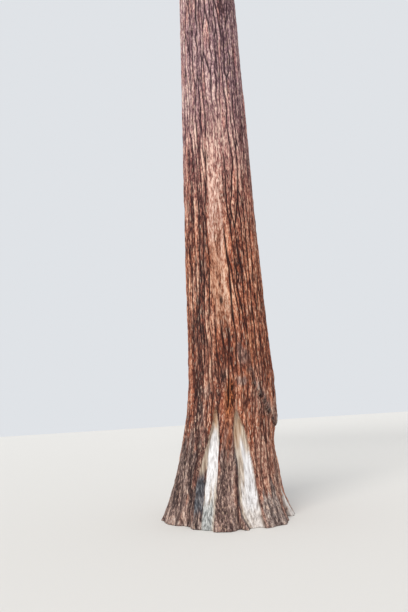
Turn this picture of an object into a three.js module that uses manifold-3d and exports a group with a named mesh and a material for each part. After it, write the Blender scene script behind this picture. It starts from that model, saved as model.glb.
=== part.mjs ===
// A giant sequoia, whole: one straight trunk with a fluted root flare and two scars of bare
// wood at its foot, tapering boughs, and masses of needle sprays that make the crown.
// Millimetres, +Z up. The origin is on the flat cut at ground level, under the flare's middle.
// Azimuths are in degrees round the trunk: 0 is the -Y side, where the scars are, and 90 is +X.
import * as THREE from "three";
import { mergeVertices } from "three/addons/utils/BufferGeometryUtils.js";
import Module from "manifold-3d";

const wasm = await Module();
wasm.setup();

// Driving dimensions of the trunk.
const STEM_TIP = 38200; // height of the trunk's tip
const TIP_RADIUS = 45;
const TAPER_FROM = 11500; // below it the bole hardly tapers
const TAPER_BULGE = 0.75; // how far the upper trunk bulges out of a plain cone
const BOLE_RADIUS = 635;
const SWELL = { out: 200, fade: 5800 }; // the long swelling of the lower bole
const FLARE = { out: 244, fade: 605 }; // the short flare over the roots
const FOOT_SHIFT = { out: 245, over: 2400 }; // the flare lies to the -X side of the bole
const LEAN = { out: 360, from: 5000, over: 33000 };

// Roots stand out of the flare and hollows lie between them, each fading with height.
const ROOTS = [
  { azimuth: -86, width: 20, out: 45, fade: 520 },
  { azimuth: -44, width: 13, out: -165, fade: 480 },
  { azimuth: -1, width: 9, out: 25, fade: 600 },
  { azimuth: 9, width: 3.5, out: -70, fade: 300 },
  { azimuth: 44, width: 17, out: 105, fade: 430 },
  { azimuth: 66, width: 6, out: -75, fade: 330 },
  { azimuth: 82, width: 10, out: 40, fade: 420 },
  { azimuth: 104, width: 12, out: -95, fade: 520 },
  { azimuth: 128, width: 15, out: 120, fade: 470 },
  { azimuth: 152, width: 10, out: -90, fade: 520 },
  { azimuth: 178, width: 14, out: 95, fade: 500 },
  { azimuth: -156, width: 9, out: -80, fade: 480 },
  { azimuth: -134, width: 14, out: 125, fade: 450 },
  { azimuth: -111, width: 9, out: -85, fade: 520 },
];

// The bare wood of the two scars lies behind the bark. Each has a left and a right edge in the
// bark and, further in, the wood's own left edge: azimuths at heights from the ground to its point.
const SCARS = [
  {
    depth: 60,
    heights: [0, 350, 700, 1070, 1250, 1450, 1650, 1810],
    left: [-33, -35, -35, -29.5, -27, -25, -23, -21],
    wood: [-24.5, -25, -25.5, -26, -25.6, -24, -22.4, -20.9],
    right: [-12, -11, -11.5, -12.3, -13, -15.2, -18, -20.4],
  },
  {
    depth: 55,
    heights: [0, 180, 400, 680, 940, 1150, 1370, 1590, 1760],
    left: [16, 11, 9.5, 8.5, 6, 3, 1, 1.2, 3.2],
    wood: [18, 13, 11.5, 10.5, 9, 5, 2.4, 2.2, 3.4],
    right: [28.5, 29, 29.2, 27.7, 24.8, 21.8, 16.4, 9, 4.2],
  },
];
const SCAR_BEVEL = 1.5; // degrees over which a scar's right edge drops to the wood
const SCAR_PROUD = 70; // how far a scar's cut starts outside the bark

// The mesh of the trunk: columns close together in front, and every second one higher up.
const FRONT_HALF = 66;
const FRONT_STEP = 6;
const BACK_COLUMNS = 14;
const LOW_ROWS = [0, 120, 270, 450, 700, 1000, 1400, 1850, 2450];
const HIGH_ROWS = [3200, 4500, 6200, 8600, 11500, 14000, 16600, 19200, 21800, 24400];
const TOP_ROWS = [26800, 29000, 31000, 33000, 34800, 36400, 37500, STEM_TIP];

// Driving dimensions of the crown. Where a value is a pair, it goes from the lowest bough or
// mass of its kind to the highest.
const TOP = 39000; // height of the highest spray
const CROWN_FOOT = 17300;
const CROWN_REACH = 5200; // radius of the crown at its widest
const SHOULDER = 0.6; // share of the crown's length, from the top, where it is widest
const DOME = { least: 0.16, power: 2.2 }; // how blunt the crown's top is
const FOOT_TUCK = 0.3; // share of the reach that is lost again at the crown's foot
const GOLDEN_ANGLE = 137.508;
const FIRST_AZIMUTH = 24;

const BOUGHS = {
  count: 20,
  height: [19000, 31900],
  trunkPitch: [0, 40], // slope at the trunk, in degrees, and at the tip
  tipPitch: [-27, 30],
  bare: [0.36, 0.2], // share of the way to the crown's edge
  radius: [122, 76],
  tipRadius: 0.58, // as a share of the radius at the trunk
  steps: 5,
  sides: 6,
};
const BOUGH_DRIFT = { azimuth: 9, height: 150, trunkPitch: 5, tipPitch: 4, yaw: 16, bare: 0.04, radius: 0.1 };

// The masses on the boughs, those borne straight on the trunk above them, and the leader.
const MASSES = {
  leastSpan: 1500,
  stem: 0.84, // share of the way from the bough's tip to the crown's edge
  upturn: [44, 18],
  halfOut: 0.6,
  halfSide: [2350, 1900],
  halfUp: [1650, 1550],
};
const UPPER = {
  count: 10,
  height: [32700, 37600],
  pitch: [22, 40],
  pitchTurn: [-8, 14], // added at the trunk and at the stem's tip
  stem: 0.86,
  halfOut: 0.64,
  halfSide: [1900, 1400],
  halfUp: [1500, 1200],
  radius: [44, 26],
};
const LEADER = { stem: 0.72, half: [1200, 1200, 1000], radius: 0.8 };
const MASS_DRIFT = { edge: [0.95, 1.04], yaw: 20, upperAzimuth: 8, upperYaw: 14 };
const BOUGH_SHARE = 0.7; // the masses on boughs are this far up the scale of sizes at most
const STEM = { steps: 3, sides: 4, tipRadius: 0.4 };

const TWIGS = {
  low: 5, // twigs in a low mass, and in a high one
  high: 4,
  from: 0.12, // share of the stem where they start and end
  to: 0.93,
  flat: 0.8, // less up and down than sideways
  forward: 0.55, // how far they lean to the stem's tip
  lift: 0.22,
  most: 2600,
  least: 320,
  run: [0.3, 0.45], // share of the room as far as the mass's edge
  clear: 60,
  radius: [0.5, 0.34], // as a share of the stem's
  tipRadius: 0.5,
  roll: 30,
};

// A spray of needles: a thin blade with a toothed outline, ridged along its middle on both faces.
// The rim is drawn for a length of 1, with its root at 0 and its tip at 1.
const SPRAY_RIM = [[0, 0], [0.34, 0.36], [0.52, 0.22], [0.86, 0.3], [1, -0.04], [0.5, -0.42]];
const SPRAY_HUB = 0.45; // where its ridge is highest, as a share of its length
const SPRAY_RIDGE = 0.035; // half of its thickness there, as a share of its length
const SPRAY = { length: [2500, 1500], root: 70, roll: 1.55, size: [0.85, 1.15], apart: 4 };
const SPRAY_TRIES = [1, 0.9, 0.8, 0.7, 0.62, 0.54, 0.46, 0.38]; // sizes that are tried until one fits
const SIDE_SPRAYS = [{ place: 0.45, hand: 1 }, { place: 0.7, hand: -1 }];
const SIDE_SPREAD = [0.9, 1.3];

const SEAT_GAP = 0.3; // a seated piece's clearance
const CLEAR = 25; // the least way between pieces that only pass each other
const FAN_POINTS = 8; // an end ring of up to so many points is closed by a fan
const FLATTEN = 1.25; // in who is nearest to a point, heights count for more than widths

const lerp = (a, b, t) => a + (b - a) * t;
const between = ([a, b], t) => lerp(a, b, t);
const clamp01 = (t) => Math.min(1, Math.max(0, t));
const smooth = (t) => clamp01(t) ** 2 * (3 - 2 * clamp01(t));
const radians = THREE.MathUtils.degToRad;
const turn = (degrees) => ((((degrees + 180) % 360) + 360) % 360) - 180;
const outward = (azimuth) => new THREE.Vector3(Math.sin(radians(azimuth)), -Math.cos(radians(azimuth)), 0);
const numbered = (name, i) => `${name}_${String(i + 1).padStart(2, "0")}`;
const lastWay = (path) => path.at(-1).clone().sub(path.at(-2)).normalize();

// Seeded draws from 0 to 1, the same in every run.
function draws(seed) {
  let state = (seed * 7919 + 17) % 4294967296;
  const next = () => {
    state = (state * 1664525 + 1013904223) % 4294967296;
    return state / 4294967296;
  };
  for (let i = 0; i < 3; i++) next();
  return next;
}

const drift = (next, most) => lerp(-most, most, next());

// The trunk's centre line and its surface.
function trunkAxis(z) {
  const lean = Math.sin((clamp01((z - LEAN.from) / LEAN.over) * Math.PI) / 2);
  return new THREE.Vector3(FOOT_SHIFT.out * smooth(z / FOOT_SHIFT.over) + LEAN.out * lean, 0, z);
}

function boleRadius(z) {
  const foot = BOLE_RADIUS + SWELL.out * Math.exp(-z / SWELL.fade) + FLARE.out * Math.exp(-z / FLARE.fade);
  const t = clamp01((z - TAPER_FROM) / (STEM_TIP - TAPER_FROM));
  return TIP_RADIUS + (foot - TIP_RADIUS) * (1 - t) * (1 + TAPER_BULGE * t * (1 - t));
}

function trunkRadius(azimuth, z) {
  let radius = boleRadius(z);
  for (const root of ROOTS) {
    const across = turn(azimuth - root.azimuth) / root.width;
    radius += root.out * Math.exp(-across * across - z / root.fade);
  }
  return radius;
}

// A point on the trunk's surface, or further out by a growth.
const trunkPoint = (azimuth, z, growth) =>
  trunkAxis(z).addScaledVector(outward(azimuth), trunkRadius(azimuth, Math.max(z, 0)) + growth);

// The solid of a three.js geometry, with only its positions, and back again.
function solidOf(geometry) {
  const bare = geometry.clone();
  bare.deleteAttribute("normal");
  bare.deleteAttribute("uv");
  const merged = mergeVertices(bare, 1e-3);
  const vertProperties = merged.attributes.position.array;
  const triVerts = new Uint32Array(merged.index.array);
  return new wasm.Manifold(new wasm.Mesh({ numProp: 3, vertProperties, triVerts }));
}

function geometryOf(solid) {
  const mesh = solid.getMesh();
  const geometry = new THREE.BufferGeometry();
  geometry.setAttribute("position", new THREE.BufferAttribute(mesh.vertProperties, 3));
  geometry.setIndex(new THREE.BufferAttribute(mesh.triVerts, 1));
  return geometry;
}

function indexed(points, index) {
  const geometry = new THREE.BufferGeometry();
  geometry.setAttribute("position", new THREE.Float32BufferAttribute(points.flatMap((p) => p.toArray()), 3));
  geometry.setIndex(index);
  return geometry;
}

const largest = (solid) => solid.decompose().reduce((a, b) => (a.volume() > b.volume() ? a : b));
const tooNear = (a, b, least) => a.minGap(b, least + 1) < least;

// A closed skin over rings of points, from the lowest ring up. Two rings have as many points,
// or the upper has every second one.
function skinOver(rings) {
  const points = rings.flat();
  const index = [];
  const starts = [];
  rings.reduce((start, ring) => (starts.push(start), start + ring.length), 0);
  for (let r = 0; r + 1 < rings.length; r++) {
    const [low, high] = [starts[r], starts[r + 1]];
    const [below, above] = [rings[r].length, rings[r + 1].length];
    for (let i = 0; i < above; i++) {
      const next = (i + 1) % above;
      if (below === above) {
        index.push(low + i, low + next, high + next, low + i, high + next, high + i);
      } else {
        const [a, b, c] = [2 * i, 2 * i + 1, (2 * i + 2) % below];
        index.push(low + a, low + b, high + i, low + b, high + next, high + i, low + b, low + c, high + next);
      }
    }
  }
  closeEnd(points, index, starts[0], rings[0], false);
  closeEnd(points, index, starts.at(-1), rings.at(-1), true);
  return indexed(points, index);
}

// A small end ring is closed by a fan from its first point, a large one from its middle.
function closeEnd(points, index, start, ring, up) {
  let hub = start;
  if (ring.length > FAN_POINTS) {
    hub = points.length;
    points.push(ring.reduce((sum, p) => sum.add(p), new THREE.Vector3()).divideScalar(ring.length));
  }
  for (let i = 0; i < ring.length; i++) {
    const [a, b] = [start + i, start + ((i + 1) % ring.length)];
    if (a !== hub && b !== hub) index.push(...(up ? [a, b, hub] : [b, a, hub]));
  }
}

function trunkColumns() {
  const columns = [];
  for (let a = -FRONT_HALF; a < FRONT_HALF; a += FRONT_STEP) columns.push(a);
  const back = 360 - 2 * FRONT_HALF;
  for (let i = 0; i < BACK_COLUMNS; i++) columns.push(FRONT_HALF + (back * i) / BACK_COLUMNS);
  return columns;
}

// The bole with its flare, or with some growth the space that it needs.
function makeBole(growth = 0) {
  const columns = trunkColumns();
  const ringAt = (z, every) =>
    columns.filter((_, i) => i % every === 0).map((azimuth) => trunkPoint(azimuth, z, growth));
  const upperRows = [...HIGH_ROWS, ...TOP_ROWS];
  return solidOf(skinOver([...LOW_ROWS.map((z) => ringAt(z, 1)), ...upperRows.map((z) => ringAt(z, 2))]));
}

// What a scar takes out of the bole: from outside the bark in to the wood, up to its point.
function scarCut(scar) {
  const rows = [[-SCAR_PROUD, 0], ...scar.heights.map((z, i) => [z, i])];
  const rings = rows.map(([z, i]) => {
    const [left, wood, right] = [scar.left[i], scar.wood[i], scar.right[i]];
    const depth = i === scar.heights.length - 1 ? 0 : scar.depth;
    const bevel = Math.min(SCAR_BEVEL, (right - wood) / 2);
    const floor = [0, 0.5, 1].map((t) => trunkPoint(lerp(right - bevel, wood, t), z, -depth));
    const rim = [trunkPoint(left, z, 0), trunkPoint(left, z, SCAR_PROUD)];
    return [...rim, trunkPoint(right, z, SCAR_PROUD), trunkPoint(right, z, 0), ...floor];
  });
  return solidOf(skinOver(rings));
}

const makeTrunk = () => SCARS.reduce((bole, scar) => bole.subtract(scarCut(scar)), makeBole());

// A tapering limb of several sides along a path of points: rings square to the path, the first
// one square to the limb that it grows on from, if that is given.
function limbGeometry(path, radii, sides, firstWay = null) {
  const side = new THREE.Vector3();
  const up = new THREE.Vector3();
  const rings = path.map((point, i) => {
    let way = path[Math.min(i + 1, path.length - 1)].clone().sub(path[Math.max(i - 1, 0)]).normalize();
    if (i === 0 && firstWay) way = firstWay.clone();
    const upright = Math.abs(way.z) > 0.9;
    if (i === 0) side.crossVectors(way, new THREE.Vector3(upright ? 1 : 0, 0, upright ? 0 : 1));
    side.addScaledVector(way, -side.dot(way)).normalize();
    up.crossVectors(side, way);
    return Array.from({ length: sides }, (_, k) => {
      const angle = (-2 * Math.PI * k) / sides;
      const across = side.clone().multiplyScalar(Math.cos(angle)).addScaledVector(up, Math.sin(angle));
      return point.clone().addScaledVector(across, radii[i]);
    });
  });
  return skinOver(rings);
}

// A path that starts at a point, heads out at an azimuth and pitches from one slope to another.
function sweep(start, azimuth, yaw, pitches, length, steps) {
  const path = [start.clone()];
  for (let i = 0; i < steps; i++) {
    const t = (i + 0.5) / steps;
    const pitch = radians(between(pitches, t));
    const way = outward(azimuth + yaw * t).multiplyScalar(Math.cos(pitch));
    way.z = Math.sin(pitch);
    path.push(path.at(-1).clone().addScaledVector(way, length / steps));
  }
  return path;
}

// How far the sprays reach from the trunk's centre line at a height.
function crownReach(z) {
  const below = (TOP - z) / (TOP - CROWN_FOOT);
  const tuck = FOOT_TUCK * clamp01((below - SHOULDER) / (1 - SHOULDER)) ** 2;
  const dome = DOME.least + (1 - DOME.least) * (1 - (1 - Math.min(1, below / SHOULDER)) ** DOME.power);
  return CROWN_REACH * dome * (1 - tuck);
}

// The boughs: low ones droop, high ones climb. Each carries a mass of foliage at its tip.
function planBoughs() {
  return Array.from({ length: BOUGHS.count }, (_, i) => {
    const next = draws(100 + i);
    const share = i / (BOUGHS.count - 1);
    const azimuth = FIRST_AZIMUTH + i * GOLDEN_ANGLE + drift(next, BOUGH_DRIFT.azimuth);
    const height = between(BOUGHS.height, share) + drift(next, BOUGH_DRIFT.height);
    const pitches = [
      between(BOUGHS.trunkPitch, share) + drift(next, BOUGH_DRIFT.trunkPitch),
      between(BOUGHS.tipPitch, share) + drift(next, BOUGH_DRIFT.tipPitch),
    ];
    const yaw = drift(next, BOUGH_DRIFT.yaw);
    const bare = between(BOUGHS.bare, share) + drift(next, BOUGH_DRIFT.bare);
    const trunk = boleRadius(height);
    const run = trunk + bare * (crownReach(height) - trunk);
    const path = sweep(trunkAxis(height), azimuth, yaw, pitches, run, BOUGHS.steps);
    const thick = between(BOUGHS.radius, share) * (1 + drift(next, BOUGH_DRIFT.radius));
    const radii = path.map((_, k) => thick * lerp(1, BOUGHS.tipRadius, (k / BOUGHS.steps) ** 0.8));
    return { name: numbered("bough", i), share, azimuth: azimuth + yaw, pitch: pitches[1], path, radii };
  });
}

const makeBough = (bough, trunkSpace) =>
  largest(solidOf(limbGeometry(bough.path, bough.radii, BOUGHS.sides)).subtract(trunkSpace));

// A mass's plan: its stem, with the way of the limb before it, and half sizes outward, sideways and up.
function massOnBough(bough, i) {
  const next = draws(200 + i);
  const tip = bough.path.at(-1);
  const reach = crownReach(tip.z) * between(MASS_DRIFT.edge, next());
  const span = Math.max(MASSES.leastSpan, reach - Math.hypot(tip.x - trunkAxis(tip.z).x, tip.y));
  const seatWay = lastWay(bough.path);
  const start = tip.clone().addScaledVector(seatWay, SEAT_GAP);
  const { share, azimuth, pitch } = bough;
  const pitches = [pitch, pitch + between(MASSES.upturn, share)];
  const stem = sweep(start, azimuth, drift(next, MASS_DRIFT.yaw), pitches, span * MASSES.stem, STEM.steps);
  const half = [span * MASSES.halfOut, between(MASSES.halfSide, share), between(MASSES.halfUp, share)];
  return { share: share * BOUGH_SHARE, azimuth, stem, seatWay, half, thick: bough.radii.at(-1) };
}

function massOnTrunk(i) {
  const next = draws(300 + i);
  const share = i / (UPPER.count - 1);
  const azimuth = FIRST_AZIMUTH + (BOUGHS.count + i) * GOLDEN_ANGLE + drift(next, MASS_DRIFT.upperAzimuth);
  const height = between(UPPER.height, share);
  const pitch = between(UPPER.pitch, share);
  const trunk = boleRadius(height);
  const rise = (crownReach(height) - trunk) * Math.tan(radians(pitch)) * 0.5;
  const span = crownReach(height + rise) * between(MASS_DRIFT.edge, next()) - trunk;
  const inside = trunk * 0.5; // the stem starts inside the trunk and is cut where it leaves it
  const start = trunkAxis(height).addScaledVector(outward(azimuth), trunk - inside);
  const pitches = UPPER.pitchTurn.map((added) => pitch + added);
  const length = span * UPPER.stem + inside;
  const stem = sweep(start, azimuth, drift(next, MASS_DRIFT.upperYaw), pitches, length, STEM.steps);
  const half = [span * UPPER.halfOut, between(UPPER.halfSide, share), between(UPPER.halfUp, share)];
  const thick = between(UPPER.radius, share);
  return { share: lerp(BOUGH_SHARE, 1, share), azimuth, stem, half, thick, onTrunk: true };
}

function leaderMass() {
  const foot = trunkAxis(STEM_TIP).add(new THREE.Vector3(0, 0, SEAT_GAP));
  const stem = sweep(foot, 0, 0, [90, 90], (TOP - STEM_TIP) * LEADER.stem, STEM.steps);
  return { share: 1, azimuth: 0, stem, half: LEADER.half, thick: TIP_RADIUS * LEADER.radius };
}

function planMasses(boughs) {
  const upper = Array.from({ length: UPPER.count }, (_, i) => massOnTrunk(i));
  return [...boughs.map(massOnBough), ...upper, leaderMass()].map((mass, i) => ({
    ...mass,
    name: numbered("foliage", i),
    middle: mass.stem.at(Math.floor(mass.stem.length / 2)),
    out: outward(mass.azimuth),
    side: outward(mass.azimuth + 90),
  }));
}

// A mass keeps to its own space: inside its ellipsoid, nearer its own middle than another's,
// between the crown's foot and top, and clear of the trunk. Every bound but the trunk's is convex.
function insideSpace(mass, masses, p) {
  const from = p.clone().sub(mass.middle);
  const [out, side, up] = mass.half;
  const reach = Math.hypot(from.dot(mass.out) / out, from.dot(mass.side) / side, from.z / up);
  if (reach > 1 || p.z > TOP || p.z < CROWN_FOOT) return false;
  for (const other of masses) {
    if (other === mass) continue;
    const way = other.middle.clone().sub(mass.middle);
    const limit = way.clone().multiplyScalar(0.5);
    way.z *= FLATTEN ** 2;
    if (from.clone().sub(limit).dot(way) > -CLEAR * way.length()) return false;
  }
  const fromAxis = Math.hypot(p.x - trunkAxis(p.z).x, p.y);
  return p.z > STEM_TIP || fromAxis > boleRadius(p.z) + 2 * CLEAR;
}

// How far a ray goes before it leaves its mass's space.
function roomAlong(mass, masses, from, way) {
  const step = 60;
  const stays = (far) => insideSpace(mass, masses, from.clone().addScaledVector(way, far));
  let far = 0;
  while (far + step <= TWIGS.most && stays(far + step)) far += step;
  return far;
}

// Whether a straight twig keeps its margin from the boughs' surfaces.
function clearOfBoughs(boughs, from, to) {
  const samples = 9;
  const nearest = new THREE.Vector3();
  for (const bough of boughs) {
    for (let s = 1; s <= samples; s++) {
      const p = from.clone().lerp(to, s / samples);
      for (let k = 0; k + 1 < bough.path.length; k++) {
        new THREE.Line3(bough.path[k], bough.path[k + 1]).closestPointToPoint(p, true, nearest);
        if (nearest.distanceTo(p) < bough.radii[k] + TWIGS.clear) return false;
      }
    }
  }
  return true;
}

// The twigs that branch from a mass's stem, turned round it by the golden angle.
function planTwigs(mass, masses, boughs, seed) {
  const next = draws(seed);
  const twigs = [];
  const last = mass.stem.length - 1;
  const count = mass.share < BOUGH_SHARE ? TWIGS.low : TWIGS.high;
  for (let k = 0; k < count; k++) {
    const [place, roll, lift, length] = [next(), next(), next(), next()];
    const at = lerp(TWIGS.from, TWIGS.to, (k + 0.4 * place) / (count - 0.6));
    const low = Math.min(last - 1, Math.floor(at * last));
    const from = mass.stem[low].clone().lerp(mass.stem[low + 1], at * last - low);
    const stemWay = mass.stem[low + 1].clone().sub(mass.stem[low]).normalize();
    const angle = radians(k * GOLDEN_ANGLE + TWIGS.roll * roll);
    const across = new THREE.Vector3().crossVectors(stemWay, new THREE.Vector3(0, 0, 1)).normalize();
    const above = new THREE.Vector3().crossVectors(across, stemWay);
    const way = across.multiplyScalar(Math.cos(angle)).addScaledVector(above, TWIGS.flat * Math.sin(angle));
    way.normalize().addScaledVector(stemWay, TWIGS.forward).normalize();
    way.z += TWIGS.lift * lift;
    way.normalize();
    const run = roomAlong(mass, masses, from, way) * between(TWIGS.run, length);
    const to = from.clone().addScaledVector(way, run);
    if (run >= TWIGS.least && clearOfBoughs(boughs, from, to)) twigs.push({ from, to, way, at });
  }
  return twigs;
}

// A spray set on a twig: its root is sunk in the twig, and it is rolled about its own way.
function placedSpray(root, way, roll, length) {
  const points = SPRAY_RIM.map(([x, y]) => new THREE.Vector3(x * length, y * length, 0));
  const [over, under] = [points.length, points.length + 1];
  const index = [];
  points.forEach((_, i) => {
    const next = (i + 1) % over;
    index.push(next, i, over, i, next, under);
  });
  for (const hand of [1, -1]) {
    points.push(new THREE.Vector3(SPRAY_HUB * length, 0, hand * SPRAY_RIDGE * length));
  }
  const side = new THREE.Vector3().crossVectors(way, new THREE.Vector3(0, 0, 1)).normalize();
  const facing = new THREE.Vector3().crossVectors(way, side).normalize();
  const turned = side.multiplyScalar(Math.cos(roll)).addScaledVector(facing, Math.sin(roll));
  const normal = new THREE.Vector3().crossVectors(way, turned);
  const matrix = new THREE.Matrix4().makeBasis(way, turned, normal).setPosition(root);
  return indexed(points, index).applyMatrix4(matrix);
}

function fits(geometry, mass, masses) {
  const points = geometry.attributes.position;
  const corner = (_, i) => new THREE.Vector3().fromBufferAttribute(points, i);
  return Array.from({ length: points.count }, corner).every((p) => insideSpace(mass, masses, p));
}

// The sprays of one mass: one past each twig's end, others at its sides, and the stem's own.
function planSprays(mass, twigs, seed) {
  const next = draws(seed);
  const stemWay = lastWay(mass.stem);
  const planned = [{ root: mass.stem.at(-1).clone().addScaledVector(stemWay, -SPRAY.root), way: stemWay }];
  for (const twig of twigs) {
    planned.push({ root: twig.to.clone().addScaledVector(twig.way, -SPRAY.root), way: twig.way });
    const side = new THREE.Vector3().crossVectors(twig.way, new THREE.Vector3(0, 0, 1)).normalize();
    for (const { place, hand } of SIDE_SPRAYS) {
      const way = twig.way.clone().addScaledVector(side, hand * between(SIDE_SPREAD, next())).normalize();
      planned.push({ root: twig.from.clone().lerp(twig.to, place), way });
    }
  }
  const varied = () => ({ roll: drift(next, SPRAY.roll), size: between(SPRAY.size, next()) });
  return planned.map((spray) => ({ ...spray, ...varied() }));
}

// The largest blade of a planned spray that stays in the mass's space and touches nothing.
function fittedSpray(planned, mass, masses, limbs, blades) {
  for (const size of SPRAY_TRIES) {
    const length = between(SPRAY.length, mass.share) * planned.size * size;
    const geometry = placedSpray(planned.root, planned.way, planned.roll, length);
    if (!fits(geometry, mass, masses)) continue;
    const blade = solidOf(geometry);
    if (limbs.some((limb) => tooNear(blade, limb, CLEAR))) continue;
    if (!blades.some((other) => tooNear(blade, other, SPRAY.apart))) return blade;
  }
  return null;
}

// A mass of foliage: its stem, the twigs on it and the sprays on them, all one solid.
function makeMass(mass, masses, boughs, limbs, trunkSpace, seed) {
  const stemRadii = mass.stem.map((_, k) => mass.thick * lerp(1, STEM.tipRadius, k / STEM.steps));
  let stem = solidOf(limbGeometry(mass.stem, stemRadii, STEM.sides, mass.seatWay));
  if (mass.onTrunk) stem = largest(stem.subtract(trunkSpace));
  const twigs = planTwigs(mass, masses, boughs, seed);
  const woods = twigs.map((twig) => {
    const thick = mass.thick * between(TWIGS.radius, twig.at);
    return solidOf(limbGeometry([twig.from, twig.to], [thick, thick * TWIGS.tipRadius], 3));
  });
  const blades = [];
  for (const planned of planSprays(mass, twigs, seed + 1000)) {
    const blade = fittedSpray(planned, mass, masses, limbs, blades);
    if (blade) blades.push(blade);
  }
  return largest(wasm.Manifold.union([stem, ...woods, ...blades]));
}

const BARK = new THREE.MeshStandardMaterial({ color: 0x7a4a36, roughness: 0.95, metalness: 0 });
const BOUGH_BARK = new THREE.MeshStandardMaterial({ color: 0x5d4437, roughness: 0.95, metalness: 0 });
const NEEDLES = new THREE.MeshStandardMaterial({ color: 0x3f6a4c, roughness: 0.7, metalness: 0 });

function named(name, solid, material) {
  const mesh = new THREE.Mesh(geometryOf(solid), material);
  mesh.name = name;
  return mesh;
}

const tree = new THREE.Group();
const trunk = makeTrunk();
const trunkSpace = makeBole(SEAT_GAP);
tree.add(named("trunk", trunk, BARK));

const boughs = planBoughs();
const boughSolids = boughs.map((bough) => makeBough(bough, trunkSpace));
boughs.forEach((bough, i) => tree.add(named(bough.name, boughSolids[i], BOUGH_BARK)));

const limbs = [trunk, ...boughSolids];
const masses = planMasses(boughs);
masses.forEach((mass, i) => {
  tree.add(named(mass.name, makeMass(mass, masses, boughs, limbs, trunkSpace, 400 + i), NEEDLES));
});

export default tree;
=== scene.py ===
"""A giant sequoia: fibrous bark over a fluted flare, two scars of bare wood, boughs, twigs and needles.

Metres, +Z up. Azimuths are degrees round the trunk: 0 is the -Y side, where the scars are, and 90 is +X.
"""
import itertools
import math

import bpy
import numpy as np
from mathutils import Matrix, Vector


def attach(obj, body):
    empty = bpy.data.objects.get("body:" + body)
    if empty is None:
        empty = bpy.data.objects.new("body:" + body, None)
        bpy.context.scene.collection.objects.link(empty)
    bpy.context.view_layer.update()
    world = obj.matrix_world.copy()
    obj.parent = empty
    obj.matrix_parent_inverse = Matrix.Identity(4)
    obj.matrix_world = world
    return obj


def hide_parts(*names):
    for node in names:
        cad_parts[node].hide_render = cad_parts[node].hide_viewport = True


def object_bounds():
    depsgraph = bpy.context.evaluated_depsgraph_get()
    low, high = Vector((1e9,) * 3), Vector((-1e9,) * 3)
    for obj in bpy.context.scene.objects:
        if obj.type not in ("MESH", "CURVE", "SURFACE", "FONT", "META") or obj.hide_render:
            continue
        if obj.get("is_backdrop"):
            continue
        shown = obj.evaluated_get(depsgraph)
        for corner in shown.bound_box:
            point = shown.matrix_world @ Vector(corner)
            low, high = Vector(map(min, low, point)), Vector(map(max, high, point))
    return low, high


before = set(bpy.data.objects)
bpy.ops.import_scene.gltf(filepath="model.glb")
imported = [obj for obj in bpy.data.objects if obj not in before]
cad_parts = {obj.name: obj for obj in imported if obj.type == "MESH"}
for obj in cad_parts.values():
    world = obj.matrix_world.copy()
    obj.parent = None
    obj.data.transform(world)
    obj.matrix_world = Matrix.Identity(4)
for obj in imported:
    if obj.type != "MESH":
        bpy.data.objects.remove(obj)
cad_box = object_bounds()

# The trunk, as in the source.
STEM_TIP = 38.2
TIP_RADIUS = 0.045
TAPER_FROM = 11.5
TAPER_BULGE = 0.75
BOLE_RADIUS = 0.635
SWELL = {"out": 0.2, "fade": 5.8}
FLARE = {"out": 0.244, "fade": 0.605}
FOOT_SHIFT = {"out": 0.245, "over": 2.4}
LEAN = {"out": 0.36, "from": 5.0, "over": 33.0}
ROOTS = [  # azimuth, width in degrees, how far out, how fast it fades with height
    (-86, 20, 0.045, 0.52),
    (-44, 13, -0.165, 0.48),
    (-1, 9, 0.025, 0.6),
    (9, 3.5, -0.07, 0.3),
    (44, 17, 0.105, 0.43),
    (66, 6, -0.075, 0.33),
    (82, 10, 0.04, 0.42),
    (104, 12, -0.095, 0.52),
    (128, 15, 0.12, 0.47),
    (152, 10, -0.09, 0.52),
    (178, 14, 0.095, 0.5),
    (-156, 9, -0.08, 0.48),
    (-134, 14, 0.125, 0.45),
    (-111, 9, -0.085, 0.52),
]
SCARS = [
    {
        "depth": 0.06,
        "heights": [0, 0.35, 0.7, 1.07, 1.25, 1.45, 1.65, 1.81],
        "left": [-33, -35, -35, -29.5, -27, -25, -23, -21],
        "wood": [-24.5, -25, -25.5, -26, -25.6, -24, -22.4, -20.9],
        "right": [-12, -11, -11.5, -12.3, -13, -15.2, -18, -20.4],
    },
    {
        "depth": 0.055,
        "heights": [0, 0.18, 0.4, 0.68, 0.94, 1.15, 1.37, 1.59, 1.76],
        "left": [16, 11, 9.5, 8.5, 6, 3, 1, 1.2, 3.2],
        "wood": [18, 13, 11.5, 10.5, 9, 5, 2.4, 2.2, 3.4],
        "right": [28.5, 29, 29.2, 27.7, 24.8, 21.8, 16.4, 9, 4.2],
    },
]
SCAR_BEVEL = 1.5

# The crown, as in the source.
TOP = 39.0
CROWN_FOOT = 17.3
CROWN_REACH = 5.2
SHOULDER = 0.6
DOME = {"least": 0.16, "power": 2.2}
FOOT_TUCK = 0.3
GOLDEN_ANGLE = 137.508
FIRST_AZIMUTH = 24
BOUGHS = {
    "count": 20, "height": (19.0, 31.9), "trunk_pitch": (0, 40), "tip_pitch": (-27, 30),
    "bare": (0.36, 0.2), "radius": (0.122, 0.076), "tip_radius": 0.58, "taper": 0.8, "steps": 5,
}
BOUGH_DRIFT = {
    "azimuth": 9, "height": 0.15, "trunk_pitch": 5, "tip_pitch": 4, "yaw": 16, "bare": 0.04, "radius": 0.1,
}
MASSES = {
    "least_span": 1.5, "stem": 0.84, "upturn": (44, 18), "half_out": 0.6,
    "half_side": (2.35, 1.9), "half_up": (1.65, 1.55),
}
UPPER = {
    "count": 10, "height": (32.7, 37.6), "pitch": (22, 40), "pitch_turn": (-8, 14), "stem": 0.86,
    "half_out": 0.64, "half_side": (1.9, 1.4), "half_up": (1.5, 1.2), "radius": (0.044, 0.026),
}
LEADER = {"stem": 0.72, "half": (1.2, 1.2, 1.0), "radius": 0.8}
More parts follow.
